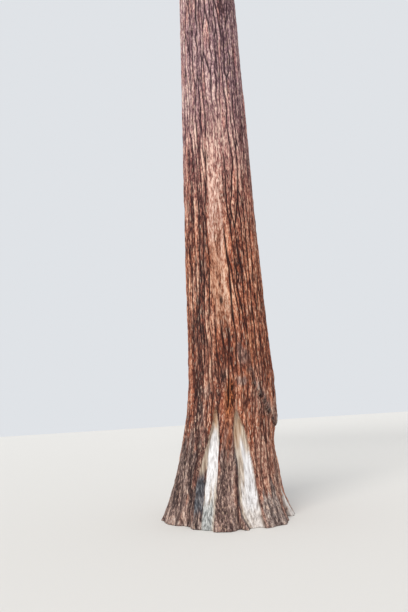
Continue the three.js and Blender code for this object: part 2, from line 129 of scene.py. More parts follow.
MASS_DRIFT = {"edge": (0.95, 1.04), "yaw": 20, "upper_azimuth": 8, "upper_yaw": 14}
BOUGH_SHARE = 0.7
STEM = {"steps": 3, "tip_radius": 0.4}
TWIGS = {
    "low": 5, "high": 4, "from": 0.12, "to": 0.93, "flat": 0.8, "forward": 0.55, "lift": 0.22, "most": 2.6,
    "least": 0.32, "run": (0.3, 0.45), "clear": 0.06, "radius": (0.5, 0.34), "tip_radius": 0.5, "roll": 30,
    "stray": 0.4, "spare": 0.6,
}
SPRAY_RIM = [(0, 0), (0.34, 0.36), (0.52, 0.22), (0.86, 0.3), (1, -0.04), (0.5, -0.42)]
SPRAY = {"length": (2.5, 1.5), "root": 0.07, "roll": 1.55, "size": (0.85, 1.15)}
SPRAY_TRIES = (1, 0.9, 0.8, 0.7, 0.62, 0.54, 0.46, 0.38)
SIDE_SPRAYS = ((0.45, 1), (0.7, -1))
SIDE_SPREAD = (0.9, 1.3)
CLEAR = 0.025
FLATTEN = 1.25
UP = np.array([0.0, 0.0, 1.0])
NEARLY_UP = np.array([0.01, 0.02, 1.0])
ALONG_X = np.array([1.0, 0, 0])


def lerp(a, b, t):
    return a + (b - a) * t


def between(pair, t):
    return lerp(pair[0], pair[1], t)


def clamp01(t):
    return np.clip(t, 0.0, 1.0)


def smooth(t):
    t = clamp01(t)
    return t * t * (3 - 2 * t)


def unit(v):
    return v / np.linalg.norm(v, axis=-1, keepdims=True)


def turned(degrees):
    return (degrees + 180) % 360 - 180


def outward(azimuth):
    a = np.radians(azimuth)
    return np.stack([np.sin(a), -np.cos(a), np.zeros_like(a)], axis=-1)


def part_way(first, second, angle):
    """The direction at an angle from the first of two that are square to each other."""
    return first * math.cos(angle) + second * math.sin(angle)


def numbered(name, i):
    return f"{name}_{i + 1:02d}"


def draws(seed):
    """Seeded draws from 0 to 1, the same as the source's."""
    state = (seed * 7919 + 17) % 2**32

    def following():
        nonlocal state
        state = (state * 1664525 + 1013904223) % 2**32
        return state / 2**32

    for _ in range(3):
        following()
    return following


def drift(following, most):
    return lerp(-most, most, following())


# The trunk's surface.


def trunk_axis(z):
    z = np.asarray(z, float)
    lean = np.sin(clamp01((z - LEAN["from"]) / LEAN["over"]) * np.pi / 2)
    x = FOOT_SHIFT["out"] * smooth(z / FOOT_SHIFT["over"]) + LEAN["out"] * lean
    return np.stack([x, np.zeros_like(z), z], axis=-1)


def bole_radius(z):
    swell = SWELL["out"] * np.exp(-z / SWELL["fade"])
    foot = BOLE_RADIUS + swell + FLARE["out"] * np.exp(-z / FLARE["fade"])
    t = clamp01((z - TAPER_FROM) / (STEM_TIP - TAPER_FROM))
    return TIP_RADIUS + (foot - TIP_RADIUS) * (1 - t) * (1 + TAPER_BULGE * t * (1 - t))


def trunk_radius(azimuth, z):
    radius = bole_radius(z)
    for place, width, out, fade in ROOTS:
        across = turned(azimuth - place) / width
        radius = radius + out * np.exp(-across * across - z / fade)
    return radius


def scatter(cells, seed):
    """Seeded values from 0 to 1, one for each whole-numbered cell."""
    cells = cells.astype(np.int64).astype(np.uint32)
    h = cells[..., 0] * np.uint32(0x8DA6B343) ^ cells[..., 1] * np.uint32(0xD8163841)
    h = h ^ cells[..., 2] * np.uint32(0xCB1AB31F) ^ np.uint32(seed * 0x9E3779B1 % 2**32)
    for shift, factor in ((15, 0x2C1B3C6D), (12, 0x297A2D39), (15, 0x85EBCA6B)):
        h = (h ^ (h >> np.uint32(shift))) * np.uint32(factor)
    return (h ^ (h >> np.uint32(16))) / 2**32


def noise(points, seed):
    """Smooth noise from -1 to 1, with features about one unit wide."""
    cell = np.floor(points)
    t = smooth(points - cell)
    total = 0
    for corner in itertools.product((0, 1), repeat=3):
        weight = np.prod(np.where(corner, t, 1 - t), axis=-1)
        total = total + weight * scatter(cell + np.array(corner), seed)
    return 2 * total - 1


def rough(seed, *parts):
    """Noise at points given by their coordinates, some of which may be single numbers."""
    return noise(np.stack(np.broadcast_arrays(*parts), axis=-1), seed)


def hump(value, half):
    """1 where the value is 0, and down to 0 on both sides."""
    return np.exp(-((value / half) ** 2))


def past(value, start, over):
    """From 0 to 1 while the value goes past a start."""
    return smooth((value - start) / over)


def short_of(value, end, over):
    """From 1 to 0 while the value comes up to an end."""
    return smooth((end - value) / over)


CELL_BLEND = 0.06
ACROSS_GRAIN = {"least": 0.06, "over": 0.3}
LEAST_COUNT = 0.01
CELL_MIDDLES = (0.08, 0.92)  # where in its cell a middle may be


def cells_at(points, period, seed):
    """How far points of a plane are from the border of their long cell, sideways, and the cell's value.

    The cells come again after a period along the first axis, so that they close round a limb. Borders
    that run across the grain hardly count, and the values blend there.
    """
    steps = np.array(list(itertools.product((-1, 0, 1), repeat=2)))
    cells = np.floor(points)[:, None, :] + steps
    keys = np.stack([cells[..., 0] % period, cells[..., 1], cells[..., 1] * 0], axis=-1)
    jitter = np.stack([scatter(keys, seed + k) for k in range(2)], axis=-1)
    middles = cells + between(CELL_MIDDLES, jitter)
    gaps = ((points[:, None, :] - middles) ** 2).sum(-1)
    rows = np.arange(len(points))
    near = np.argmin(gaps, axis=1)
    towards = middles - middles[rows, near][:, None, :]
    apart = np.linalg.norm(towards, axis=-1)
    apart[rows, near] = 1
    borders = (gaps - gaps[rows, near][:, None]) / (2 * apart)
    weights = np.exp(-borders / CELL_BLEND)
    value = (weights * scatter(keys, seed + 3)).sum(axis=1) / weights.sum(axis=1)
    turned_off = abs(towards[..., 0]) / apart
    counts = turned_off * past(turned_off, ACROSS_GRAIN["least"], ACROSS_GRAIN["over"])
    sideways = borders / (counts + LEAST_COUNT)
    sideways[rows, near] = np.inf
    return sideways.min(axis=1), value


# Bark: long ribbons that part and join, with finer ribs on them and fibres on those.
RIBBONS = 48  # round the trunk
RIBBON_SLENDER = 18  # a ribbon is so many times longer than wide, and shorter near the ground
LEAST_WIDTH = 0.02
LENGTH_STEPS = 1600
FOOT_SHORTER = {"by": 1.6, "fade": 1.3}
RIBBON_DEPTH = 0.03
RIBBON_EDGE = 0.15  # of a ribbon's width: how soon it rises from its furrow
RIBS = 2  # across a ribbon
RIB_LENGTH = 0.3  # of a ribbon's length
RIB_DEPTH = 0.013
RIB_EDGE = 0.21  # of a rib's width
FIBRE_DEPTH = 0.006
FLUTE_DEPTH = 0.014
WANDER = 0.4  # of a ribbon's width
SWAY = 0.8
RIPPLE = 0.24
RIB_WANDER = 0.3
FRAY = 0.5
PARTED = {"least": 0.6, "by": 0.9}
SURFACE = {"ridge": 0.6, "rib": 0.55}  # the height on a ribbon or rib that lies on the trunk's surface
OWN_DEPTH = {"ribbon": 0.5, "rib": 0.8}  # how much deeper or shallower one is than the next
IN_FURROW = 0.4  # of a rib's relief
SHALLOW = {"by": 0.4, "half": 1.5}  # the relief near the ground
THINNER = 0.8  # how the relief thins with the trunk
FLAKES = {"seed": 52, "round": 5, "up": 13, "depth": 0.007, "half": 2.1}
FOLDS = {"seed": 53, "round": 1.1, "up": 0.7, "depth": 0.034, "fade": 0.4}


def ribbon_width(z):
    return 2 * np.pi * bole_radius(z) / RIBBONS


def ribbon_lengths():
    """How many ribbons' lengths there are up to each of a row of heights."""
    heights = np.linspace(0, STEM_TIP, LENGTH_STEPS)
    shorter = 1 + FOOT_SHORTER["by"] * np.exp(-heights / FOOT_SHORTER["fade"])
    lengths = RIBBON_SLENDER * np.maximum(ribbon_width(heights), LEAST_WIDTH) / shorter
    return heights, np.cumsum((heights[1] - heights[0]) / lengths)


HEIGHTS, LENGTHS = ribbon_lengths()
# How many features a noise has to a ribbon's width, X and Y, and to its length, Z. Then its seed.
BARK_NOISE = {
    "wander": ((0.7, 0.7, 1.5), 11),
    "sway": ((0.16, 0.16, 0.5), 12),
    "ripple": ((0.9, 0.9, 5), 13),
    "rib_wander": ((2.2, 2.2, 5), 15),
    "parted": ((1.6, 1.6, 1.9), 16),
    "rib_ripple": ((2.6, 2.6, 17), 17),
    "fray": ((3, 3, 8), 31),
    "fibre": ((9, 9, 24), 51),
    "flute": ((0.3, 0.3, 0.4), 61),
}
CELL_SEEDS = {"ribbon": 21, "rib": 41, "bough": 122}


def ribbons_at(across, along, bends):
    """How high points stand on their ribbon, from 0 in a furrow to 1, and the ribbon's own value."""
    border, own = cells_at(np.stack([across, along], axis=-1), RIBBONS, CELL_SEEDS["ribbon"])
    return 1 - np.exp(-border / (RIBBON_EDGE * (1 + FRAY * bends["fray"]))), own


def ribs_at(across, along, bends):
    """The same for the ribs, which part in some places and are one in others."""
    across = across * RIBS + RIB_WANDER * bends["rib_wander"] + RIB_WANDER * bends["rib_ripple"]
    points = np.stack([across, along / RIB_LENGTH], axis=-1)
    border, own = cells_at(points, RIBBONS * RIBS, CELL_SEEDS["rib"])
    parted = smooth(PARTED["least"] + PARTED["by"] * bends["parted"])
    return 1 - parted * np.exp(-border / RIB_EDGE), own


def bark_form(azimuth, z):
    """The bark's relief at points of the trunk, and its ribbons and ribs: how high, and their own values."""
    round_way = outward(azimuth) * RIBBONS / (2 * np.pi)
    along = np.interp(z, HEIGHTS, LENGTHS)
    points = round_way + along[:, None] * UP
    bends = {name: noise(points * stretch, seed) for name, (stretch, seed) in BARK_NOISE.items()}
    across = azimuth / 360 * RIBBONS
    across = across + WANDER * bends["wander"] + SWAY * bends["sway"] + RIPPLE * bends["ripple"]
    ridge, own = ribbons_at(across, along, bends)
    rib, rib_own = ribs_at(across, along, bends)
    flake, folds = [
        rough(plan["seed"], *(round_way[:, :2] * plan["round"]).T, z * plan["up"])
        for plan in (FLAKES, FOLDS)
    ]
    lift = RIBBON_DEPTH * (ridge - SURFACE["ridge"])
    lift = lift + RIB_DEPTH * (rib - SURFACE["rib"]) * lerp(IN_FURROW, 1, ridge)
    lift = lift + RIBBON_DEPTH * OWN_DEPTH["ribbon"] * (own - 0.5) * ridge
    lift = lift + RIB_DEPTH * OWN_DEPTH["rib"] * (rib_own - 0.5) * rib
    lift = lift * (1 - SHALLOW["by"] * hump(z, SHALLOW["half"]))
    lift = lift + FIBRE_DEPTH * bends["fibre"] + FLUTE_DEPTH * bends["flute"]
    lift = lift + FLAKES["depth"] * flake * hump(z, FLAKES["half"])
    lift = lift * clamp01(bole_radius(z) / BOLE_RADIUS) ** THINNER
    lift = lift + FOLDS["depth"] * folds * np.exp(-z / FOLDS["fade"])
    return lift, ridge, rib, own, rib_own


SCAR_EDGE = {
    "ragged": 0.45, "up": 9, "least": 0.3, "soft": 0.8, "wood_from": 0.5, "wall_from": 0.4, "top": 0.12,
}


def scar_form(scar, azimuth, z):
    """A scar's depth at points of the trunk, its bare wood, its left wall and places across its wood."""
    ragged = SCAR_EDGE["ragged"] * rough(71, z * SCAR_EDGE["up"], 0, 0)
    left, wood, right = [
        np.interp(z, scar["heights"], scar[name]) + ragged for name in ("left", "wood", "right")
    ]
    least, soft, start = SCAR_EDGE["least"], SCAR_EDGE["soft"], SCAR_EDGE["wall_from"]
    below = short_of(z, scar["heights"][-1], SCAR_EDGE["top"])
    down = clamp01((azimuth - left) / np.maximum(wood - left, least))
    bevel = np.minimum(SCAR_BEVEL, (right - wood) / 2)
    up = clamp01((right - azimuth) / np.maximum(bevel, least))
    bare = past(azimuth + SCAR_EDGE["wood_from"], wood, soft) * short_of(azimuth, right, soft)
    return {
        "depth": scar["depth"] * np.minimum(down, up) * below,
        "bare": bare * below,
        "wall": past(azimuth + start, left, soft) * (1 - past(azimuth + start, wood, soft)) * below,
        "across": clamp01((azimuth - wood) / np.maximum(right - wood, least)),
    }


PATCH_SOFT = 0.5
PATCH_NOISE = [  # seed, how much, and how many features to a degree and to a metre
    (81, 0.35, 0.16, 2.2),
    (82, 0.3, 0.5, 5),
]


def patch(azimuth, z, centre, half, number):
    """A soft-edged patch of the bark, from 0 to 1, with a ragged outline of its own."""
    inside = 1 - np.hypot(turned(azimuth - centre[0]) / half[0], (z - centre[1]) / half[1])
    for seed, much, to_degree, to_metre in PATCH_NOISE:
        inside = inside + much * rough(seed, azimuth * to_degree, z * to_metre, number)
    return smooth(inside / PATCH_SOFT)


# Places on the bark: (azimuth, height), (half width in degrees, half height in metres), strength.
GREY_AND_SKYLIGHT_PATCHES = [
    ((20, 0.05), (80, 0.5), 0.5),
    ((40, 0.7), (30, 1.1), 0.3),
    ((-30, 0.8), (20, 1.0), 0.45),
    # painted sky light: the left side greyer and more mauve
    ((-38, 3.4), (24, 2.6), 0.24),
    ((180, 0.1), (130, 0.9), 0.45),
    ((-39, 2.05), (15, 0.22), 0.5),
    ((14, 2.62), (11, 0.2), 0.55),
    ((36, 1.95), (10, 0.24), 0.35),
    ((47, 1.72), (16, 0.24), 0.35),
    ((11, 2.18), (8, 0.1), 0.6),
    ((80, 1.9), (16, 0.5), 0.5),
    ((34, 2.0), (20, 0.6), 0.2),
    ((-72, 0.4), (46, 1.4), 0.8),
    ((-44, 0), (24, 0.7), 0.8),
    ((-44, 1.5), (15, 0.5), 0.45),
    ((-3, 0), (18, 1.35), 0.8),
    ((-3, 1.4), (8, 0.6), 0.2),
    ((6.0, 0.75), (4.0, 0.7), 0.6),
    ((42, 0.2), (17, 0.42), 0.9),
    ((38, 0.9), (12, 0.5), 0.35),
    ((64, 0.5), (14, 0.6), 0.5),
    ((-12, 2.3), (7, 0.2), 0.4),
]
LIT_PATCHES = [  # bark in its own paler tones
    ((42, 0.25), (18, 0.5), 0.7),
    ((35, 0.95), (11, 0.5), 0.35),
    ((46, 1.82), (8, 0.24), 0.9),
    ((-31, 2.95), (21, 0.75), 0.8),
    ((-3, 1.4), (8, 0.6), 0.5),
]
DEEP_TONE_AND_SHADE_PATCHES = [  # bark in its own deeper tones, and painted shade on the trunk's flanks
    ((-50, 1.0), (40, 2.2), 1.7),
    ((-1, 0.45), (18, 1.2), 1.3),
    ((-2, 2.7), (20, 0.7), 2.4),
    ((-44, 1.9), (18, 0.6), 0.6),
    ((-30, 3.4), (18, 1.0), 0.2),
    ((-40, 4.6), (18, 1.5), 0.9),
    ((22, 3.1), (20, 0.9), 0.5),
    ((48, 2.0), (16, 0.9), 0.6),
    # painted shade: the trunk's flanks, left and right, are deeper in tone where they turn from the light
    ((-52, 10), (26, 3), 1.1),
    ((52, 10), (26, 3), 0.6),
    ((-82, 5), (22, 5), 1.0),
    ((82, 5), (22, 5), 0.8),
    ((150, 1.5), (34, 1.4), 0.7),
]
STAINS = [
    ((-4, 1.85), (4.6, 0.34), 1.0),
    ((-6.5, 1.7), (5, 0.4), 0.55),
    ((-14, 4.1), (9, 0.9), 0.4),
    ((-47, 0.14), (10, 0.12), 0.3),
    ((26, 2.6), (7, 0.8), 0.3),
    ((-20.6, 1.62), (4, 0.24), 0.7),
    ((9, 1.35), (3, 0.3), 0.4),
]
KNOTS = [
    ((-8, 3.62), (2.6, 0.09), 1),
    ((-11, 2.28), (2.4, 0.07), 1),
    ((-21.5, 2.35), (1.6, 0.1), 1),
    ((-5.6, 2.05), (0.9, 0.34), 1),
    ((-1, 2.08), (2.2, 0.06), 1),
    ((0.5, 1.82), (1.4, 0.1), 1),
    ((33, 3.3), (1.3, 0.12), 1),
]
PILLAR = [((-3, 1.3), (8, 0.7), 0.95), ((-1, 0.4), (8.5, 0.7), 0.8)]
PILLAR_FORM = {"level": 0.8, "ridge": 0.8, "rib": 0.6}
PILLAR_STAIN = {"strength": (0.2, 0.75), "from": 0.6, "over": 0.7}
SOILED = {"strength": 0.75, "up": 0.2}  # the rim of the foot is greyed by the soil
PAINTED_SIDE_LIGHT = {"azimuth": -48, "half": 24, "own": 1.3, "rib": 1.5}  # painted side light: ribbons differ more on the left, as if lit from that side
LIT, DIM = 0.6, 0.55  # how much the patches change a ribbon's own value
SMOOTHED = 0.62  # how much of the relief is gone where the bark is rubbed
KNOT_DEPTH = 0.03
PATCHY = {"round": 0.24, "up": 2.6}
RUBBED = {
    "heights": [3.0, 4.0, 5.0, 6.0, 7.0, 8.8],
    "left": [-18, -21, -21, -20, -19, -17],
    "right": [5, 3, 5, 9, 17, 17],
    "soft": 4, "starts": 0.4, "ends": 2.4, "ragged": 1.6, "ragged_round": 0.05, "ragged_up": 3.1,
    "frayed": (1.5, 5), "frayed_from": 5.4, "frayed_over": 1.5,
}
LEDGE = {
    "azimuth": [14, 24, 30, 39, 50, 66, 95],
    "height": [2.5, 2.3, 2.07, 1.87, 1.66, 1.48, 1.42],
    "ragged": 0.05, "round": 0.3, "up": 4, "ends": 12, "edge": 0.04, "out": 0.036, "fade": 0.24,
}
BROKEN_EDGE = {"round": 0.7, "up": 9, "middle": 0.55, "by": 1.2}
# the gap under the ledge, and how strong the painted shade along it is
LEDGE_GAP = {"depth": 0.024, "below": 0.03, "half": 0.035, "painted_shade": 0.8}
LEDGE_GREY = {"strength": 0.9, "up": 0.24, "soft": 0.2}
HOLLOW = {"place": (80, 1.16), "half": (36, 0.42), "depth": 0.055}
# The wood at the foot. Heights are in metres, and "ragged" is how far an edge strays from its height.
WALL_CHARRED = {"from": 0.16, "over": 0.12, "ragged": 0.06, "to": 0.8, "fades": 0.2, "top_ragged": 0.14}
WALL_PEELED = {"from": 0.72, "over": 0.16, "ragged": 0.16, "much": 0.9}
WALL_GREY = {"to": 0.3, "over": 0.15, "much": 0.9}
WOOD_GREYED = {"to": 0.44, "over": 0.2, "ragged": 0.08, "across": 0.95, "across_over": 0.25}
RIGHT_WALL_BURNT = 0.5
STRIP_TONE = 0.62
GRAINS = [  # seed, depth, and how many features to a degree and to a metre: of the wood and of char
    (95, 0.004, 0.42, 1.3),
    (96, 0.008, 0.9, 15),
]
LIP = {"out": 0.014, "at": 0.35, "half": 0.3, "cut": 0.02}  # the bark swells at the rim of a cut


def covered(patches, azimuth, z, first=0, step=7):
    """The strongest of some patches at each point. Each has a number for its outline."""
    total = np.zeros_like(azimuth)
    for i, (centre, half, strength) in enumerate(patches):
        total = np.maximum(total, strength * patch(azimuth, z, centre, half, first + step * i))
    return total


def rubbed_streak(azimuth, z, patchy):
    """Where the bark is rubbed smooth, from 0 to 1."""
    ragged = rough(91, z * RUBBED["ragged_up"], azimuth * RUBBED["ragged_round"], 0)
    frayed = between(RUBBED["frayed"], past(z, RUBBED["frayed_from"], RUBBED["frayed_over"])) * patchy
    frayed = RUBBED["ragged"] * ragged + frayed
    left, right = [np.interp(z, RUBBED["heights"], RUBBED[name]) for name in ("left", "right")]
    soft, low, high = RUBBED["soft"], RUBBED["heights"][0], RUBBED["heights"][-1]
    across = past(azimuth + frayed, left, soft) * short_of(azimuth - frayed, right, soft)
    return across * past(z, low, RUBBED["starts"]) * short_of(z, high, RUBBED["ends"])


def ledge_form(azimuth, z):
    """The bark stands out above a slanting line at the right, with a gap and a hollow under it, and where
    painted shade goes along the gap.
    """
    above = z - np.interp(azimuth, LEDGE["azimuth"], LEDGE["height"])
    above = above + LEDGE["ragged"] * rough(98, azimuth * LEDGE["round"], z * LEDGE["up"], 0)
    first, last = LEDGE["azimuth"][0], LEDGE["azimuth"][-1]
    there = past(azimuth, first, LEDGE["ends"]) * short_of(azimuth, last, LEDGE["ends"])
    out = there * smooth(above / LEDGE["edge"] + 0.5) * np.exp(-np.maximum(above, 0) / LEDGE["fade"])
    gap = there * hump(above + LEDGE_GAP["below"], LEDGE_GAP["half"])
    across = (azimuth - HOLLOW["place"][0]) / HOLLOW["half"][0]
    up = (z - HOLLOW["place"][1]) / HOLLOW["half"][1]
    hollow = smooth(1 - np.hypot(across, up))
    broken = rough(99, azimuth * BROKEN_EDGE["round"], z * BROKEN_EDGE["up"], 0)
    broken = smooth(BROKEN_EDGE["middle"] + BROKEN_EDGE["by"] * broken)
    grey = there * smooth(above / LEDGE["edge"] + 1)
    grey = grey * short_of(above, LEDGE_GREY["up"], LEDGE_GREY["soft"])
    lift = LEDGE["out"] * out - LEDGE_GAP["depth"] * gap - HOLLOW["depth"] * hollow
    return lift, gap * broken, grey * lerp(0.5, 1, broken)


WHITE_WOOD = {"ragged": 0.25, "round": 6, "up": 2.4, "most": 0.9, "least": 0.1}
SCAR_WHITE = [
    {"from": 0.28, "to": 1.55, "over": 0.35},
    {
        "heights": [0, 0.4, 0.7, 1.0, 1.3], "left": [0.12, 0.08, 0.12, 0.3, 0.4], "to": 1.25, "over": 0.3,
        "dimmed": 0.4, "dimmed_to": 0.34, "dimmed_over": 0.2, "ends": 1.45, "ends_over": 0.4,
    },
]


def scar_tone(number, across, z):
    """From old brown wood, 0, to white wood, 1."""
    ragged = WHITE_WOOD["ragged"] * rough(97, across * WHITE_WOOD["round"], z * WHITE_WOOD["up"], number)
    most, least = WHITE_WOOD["most"], WHITE_WOOD["least"]
    plan = SCAR_WHITE[number]
    white = short_of(z - ragged, plan["to"], plan["over"])
    if number == 0:
        return past(z + ragged, plan["from"], plan["over"]) * white * most + least
    left = np.interp(z, plan["heights"], plan["left"])
    white = past(across + ragged, left, plan["over"]) * white
    dimmed = plan["dimmed"] * short_of(z, plan["dimmed_to"], plan["dimmed_over"])
    return clamp01(white * (most - dimmed) + least * short_of(z, plan["ends"], plan["ends_over"]))


STRIP = {
    "heights": [0, 0.15, 0.3, 0.46], "centre": [75, 73, 71, 67],
    "half_heights": [0, 0.2, 0.46], "half": [4.5, 3.6, 0.6], "soft": 0.8, "top": 0.05,
}
CRACK = {"off": 1.2, "half": 1.6, "soft": 0.9, "up": 0.34, "top": 0.1, "depth": 0.045}


def root_strip(azimuth, z):
    """A strip of cream wood and a crack beside it, on the root at the right."""
    off = azimuth - np.interp(z, STRIP["heights"], STRIP["centre"])
    half = np.interp(z, STRIP["half_heights"], STRIP["half"])
    strip = short_of(abs(off), half, STRIP["soft"]) * short_of(z, STRIP["heights"][-1], STRIP["top"])
    crack = short_of(abs(off + half + CRACK["off"]), CRACK["half"], CRACK["soft"])
    return strip, crack * short_of(z, CRACK["up"], CRACK["top"])


def wood_form(azimuth, z, patchy):
    """How deep the scars and crack are cut, the left scar's wall, and what the wood's colours follow."""
    left, right = [scar_form(scar, azimuth, z) for scar in SCARS]
    strip, crack = root_strip(azimuth, z)
    plan = WALL_CHARRED
    charred = past(z + plan["ragged"] * patchy, plan["from"], plan["over"])
    charred = charred * short_of(z - plan["top_ragged"] * patchy, plan["to"], plan["fades"])
    burnt = np.maximum.reduce([left["wall"] * charred, RIGHT_WALL_BURNT * right["wall"], crack])
    plan = WALL_PEELED
    peeled = plan["much"] * left["wall"] * past(z + plan["ragged"] * patchy, plan["from"], plan["over"])
    plan = WOOD_GREYED
    greyed = left["bare"] * short_of(z - plan["ragged"] * patchy, plan["to"], plan["over"])
    greyed = greyed * short_of(left["across"], plan["across"], plan["across_over"])
    tones = [scar["bare"] * scar_tone(i, scar["across"], z) for i, scar in enumerate((left, right))]
    tone = np.maximum.reduce([*tones, STRIP_TONE * strip])
    bare = np.maximum.reduce([left["bare"], right["bare"], strip, peeled])
    depth = left["depth"] + right["depth"] + CRACK["depth"] * crack
    return depth, left["wall"], (bare, burnt, tone, greyed)


def trunk_form(azimuth, z):
    """The relief of the dressed trunk, and the three attributes that its colours follow."""
    lift, ridge, rib, own, rib_own = bark_form(azimuth, z)
    patchy = rough(93, azimuth * PATCHY["round"], z * PATCHY["up"], 0)
    rubbed = rubbed_streak(azimuth, z, patchy)
    pillar = covered(PILLAR, azimuth, z)
    ridge = lerp(ridge, PILLAR_FORM["level"], PILLAR_FORM["ridge"] * pillar)
    rib = lerp(rib, PILLAR_FORM["level"], PILLAR_FORM["rib"] * pillar)
    # Painted side light: the ribbons and ribs on the left flank spread further in tone.
    side_light = hump(turned(azimuth - PAINTED_SIDE_LIGHT["azimuth"]), PAINTED_SIDE_LIGHT["half"])
    own = own + PAINTED_SIDE_LIGHT["own"] * side_light * (own - 0.5)
    own = own + LIT * covered(LIT_PATCHES, azimuth, z) - DIM * covered(DEEP_TONE_AND_SHADE_PATCHES, azimuth, z)
    rib_own = rib_own + PAINTED_SIDE_LIGHT["rib"] * side_light * (rib_own - 0.5)
    stained = between(PILLAR_STAIN["strength"], past(z, PILLAR_STAIN["from"], PILLAR_STAIN["over"]))
    stain = np.maximum(covered(STAINS, azimuth, z), pillar * stained)
    knot = covered(KNOTS, azimuth, z, first=50, step=1)
    ledge, gap, band = ledge_form(azimuth, z)
    depth, wall, wood = wood_form(azimuth, z, patchy)
    bare, burnt = wood[:2]
    grey = np.maximum.reduce([
        covered(GREY_AND_SKYLIGHT_PATCHES, azimuth, z),
        SOILED["strength"] * hump(z, SOILED["up"]),
        LEDGE_GREY["strength"] * band,
        WALL_GREY["much"] * wall * short_of(z, WALL_GREY["to"], WALL_GREY["over"]),
    ])
    lift = lift * (1 - SMOOTHED * np.maximum(rubbed, pillar)) - KNOT_DEPTH * knot + ledge
    wood_grain, char_grain = [
        depth_of * rough(seed, azimuth * to_degree, z * to_metre, 0)
        for seed, depth_of, to_degree, to_metre in GRAINS
    ]
    cut = clamp01(depth / LIP["cut"])
    lip = LIP["out"] * hump(cut - LIP["at"], LIP["half"]) * (cut > 0)
    lift = lerp(lift, wood_grain + char_grain * burnt, cut) - depth + lip * (1 - bare)
    form = np.stack([ridge, rib, own, rib_own], axis=-1)
    # the knot channel also carries the painted shade along the gap under the ledge
    place = np.stack([rubbed, grey, stain, np.maximum(knot, LEDGE_GAP["painted_shade"] * gap)], axis=-1)
    return lift, form, place, np.stack(wood, axis=-1)


# Meshes.


def new_piece(name, points, faces, materials, uvs=None, attributes=None, slots=None):
    """A mesh object from arrays. faces is a list of whole-number arrays, one row for each face."""
    mesh = bpy.data.meshes.new(name)
    corners = np.concatenate([f.ravel() for f in faces])
    sizes = np.concatenate([np.full(len(f), f.shape[1]) for f in faces])
    mesh.vertices.add(len(points))
    mesh.vertices.foreach_set("co", np.asarray(points, np.float32).ravel())
    mesh.loops.add(len(corners))
    mesh.loops.foreach_set("vertex_index", corners.astype(np.int32))
    mesh.polygons.add(len(sizes))
    mesh.polygons.foreach_set("loop_start", np.concatenate([[0], np.cumsum(sizes)[:-1]]).astype(np.int32))
    mesh.polygons.foreach_set("use_smooth", np.ones(len(sizes), bool))
    if slots is not None:
        mesh.polygons.foreach_set("material_index", slots.astype(np.int32))
    mesh.update(calc_edges=True)
    if uvs is not None:
        layer = mesh.uv_layers.new(name="OFBake")
        corners = np.concatenate([part.reshape(-1, 2) for part in uvs])
        layer.data.foreach_set("uv", corners.astype(np.float32).ravel())
    for label, values in (attributes or {}).items():
        layer = mesh.attributes.new(label, "FLOAT_COLOR", "POINT")
        layer.data.foreach_set("color", values.astype(np.float32).ravel())
    for material in materials:
        mesh.materials.append(material)
    piece = bpy.data.objects.new(name, mesh)
    bpy.context.scene.collection.objects.link(piece)
    return piece


def tube_faces(rings, around, start=0):
    """The quads between rings of points."""
    low = start + np.arange(rings - 1)[:, None] * around
    here = np.arange(around)[None, :]
    after = (here + 1) % around
    quads = np.stack([low + here, low + after, low + around + after, low + around + here], axis=-1)
    return quads.reshape(-1, 4)


CAP_STRIP = 0.94  # a tube's skin takes up the map as far as here, and its ends the rest
CAP_MAP = {"radius": 0.024, "low": 0.25, "high": 0.75, "up": 0.97}


def tube_uvs(along, around):
    """The map of a tube: once round from left to right, and up it by the places given."""
    up = np.repeat(np.asarray(along), len(around)).reshape(len(along), -1) * CAP_STRIP
    left = np.asarray(around)
    right = np.append(left[1:], 1.0)
    low, high = up[:-1], up[1:]
    us = np.stack([np.broadcast_to(u, low.shape) for u in (left, right, right, left)], axis=-1)
    vs = np.stack([low, low, high, high], axis=-1)
    return np.stack([us, vs], axis=-1)


def cap(ring, hub, up):
    """A fan over an end ring, and its map."""
    after = np.roll(ring, -1)
    faces = np.stack([ring, after, np.full_like(ring, hub)], axis=-1)
    turn = np.linspace(0, 2 * np.pi, len(ring) + 1)
    rim = np.stack([np.cos(turn), np.sin(turn)], axis=-1) * CAP_MAP["radius"]
    middle = np.array([CAP_MAP["high" if up else "low"], CAP_MAP["up"]])
    uvs = np.stack([rim[:-1] + middle, rim[1:] + middle, np.broadcast_to(middle, rim[1:].shape)], axis=1)
    if up:
        return faces, uvs
    return faces[:, [1, 0, 2]], uvs[:, [1, 0, 2]]


CHANNELS = {  # the trunk's attributes, and what their four values are
    "form": ("ridge", "rib", "own", "rib_own"),
    # knot also holds the painted shade under the ledge, and grey the painted sky light on the left
    "place": ("rubbed", "grey", "stain", "knot"),
    "wood": ("bare", "burnt", "tone", "greyed"),
}
FINE_COLUMNS = {"half": 62, "step": 0.78}
COARSE_COLUMNS = 168
TRUNK_PIECES = [
    {"name": "trunk_lower", "rows": [(0, 2.3, 0.0165), (2.3, 12.8, 0.065)], "every": 1},
    {"name": "trunk_middle", "rows": [(12.8, 25.6, 0.1)], "every": 1},
    {"name": "trunk_upper", "rows": [(25.6, 36.9, 0.09), (36.9, STEM_TIP, 0.06)], "every": 2},
]


def trunk_columns():
    half = FINE_COLUMNS["half"]
    front = np.arange(-half, half, FINE_COLUMNS["step"])
    front = front[: len(front) // 2 * 2]
    back = np.linspace(front[-1] + FINE_COLUMNS["step"], 360 - half, COARSE_COLUMNS, endpoint=False)
    return np.concatenate([front, turned(back)])


def capped_tube(name, points, centres, around, along, material, attributes):
    """A piece from rings of points, with a fan over each end. The centres are those of the two ends."""
    count, sides = len(points), len(around)
    low_cap, low_uvs = cap(np.arange(sides), count, False)
    high_cap, high_uvs = cap(count - sides + np.arange(sides), count + 1, True)
    return new_piece(
        name,
        np.concatenate([points, centres]),
        [tube_faces(count // sides, sides), low_cap, high_cap],
        [material],
        uvs=[tube_uvs(along, around), low_uvs, high_uvs],
        attributes={label: np.concatenate([rows, rows[[0, -1]]]) for label, rows in attributes.items()},
    )


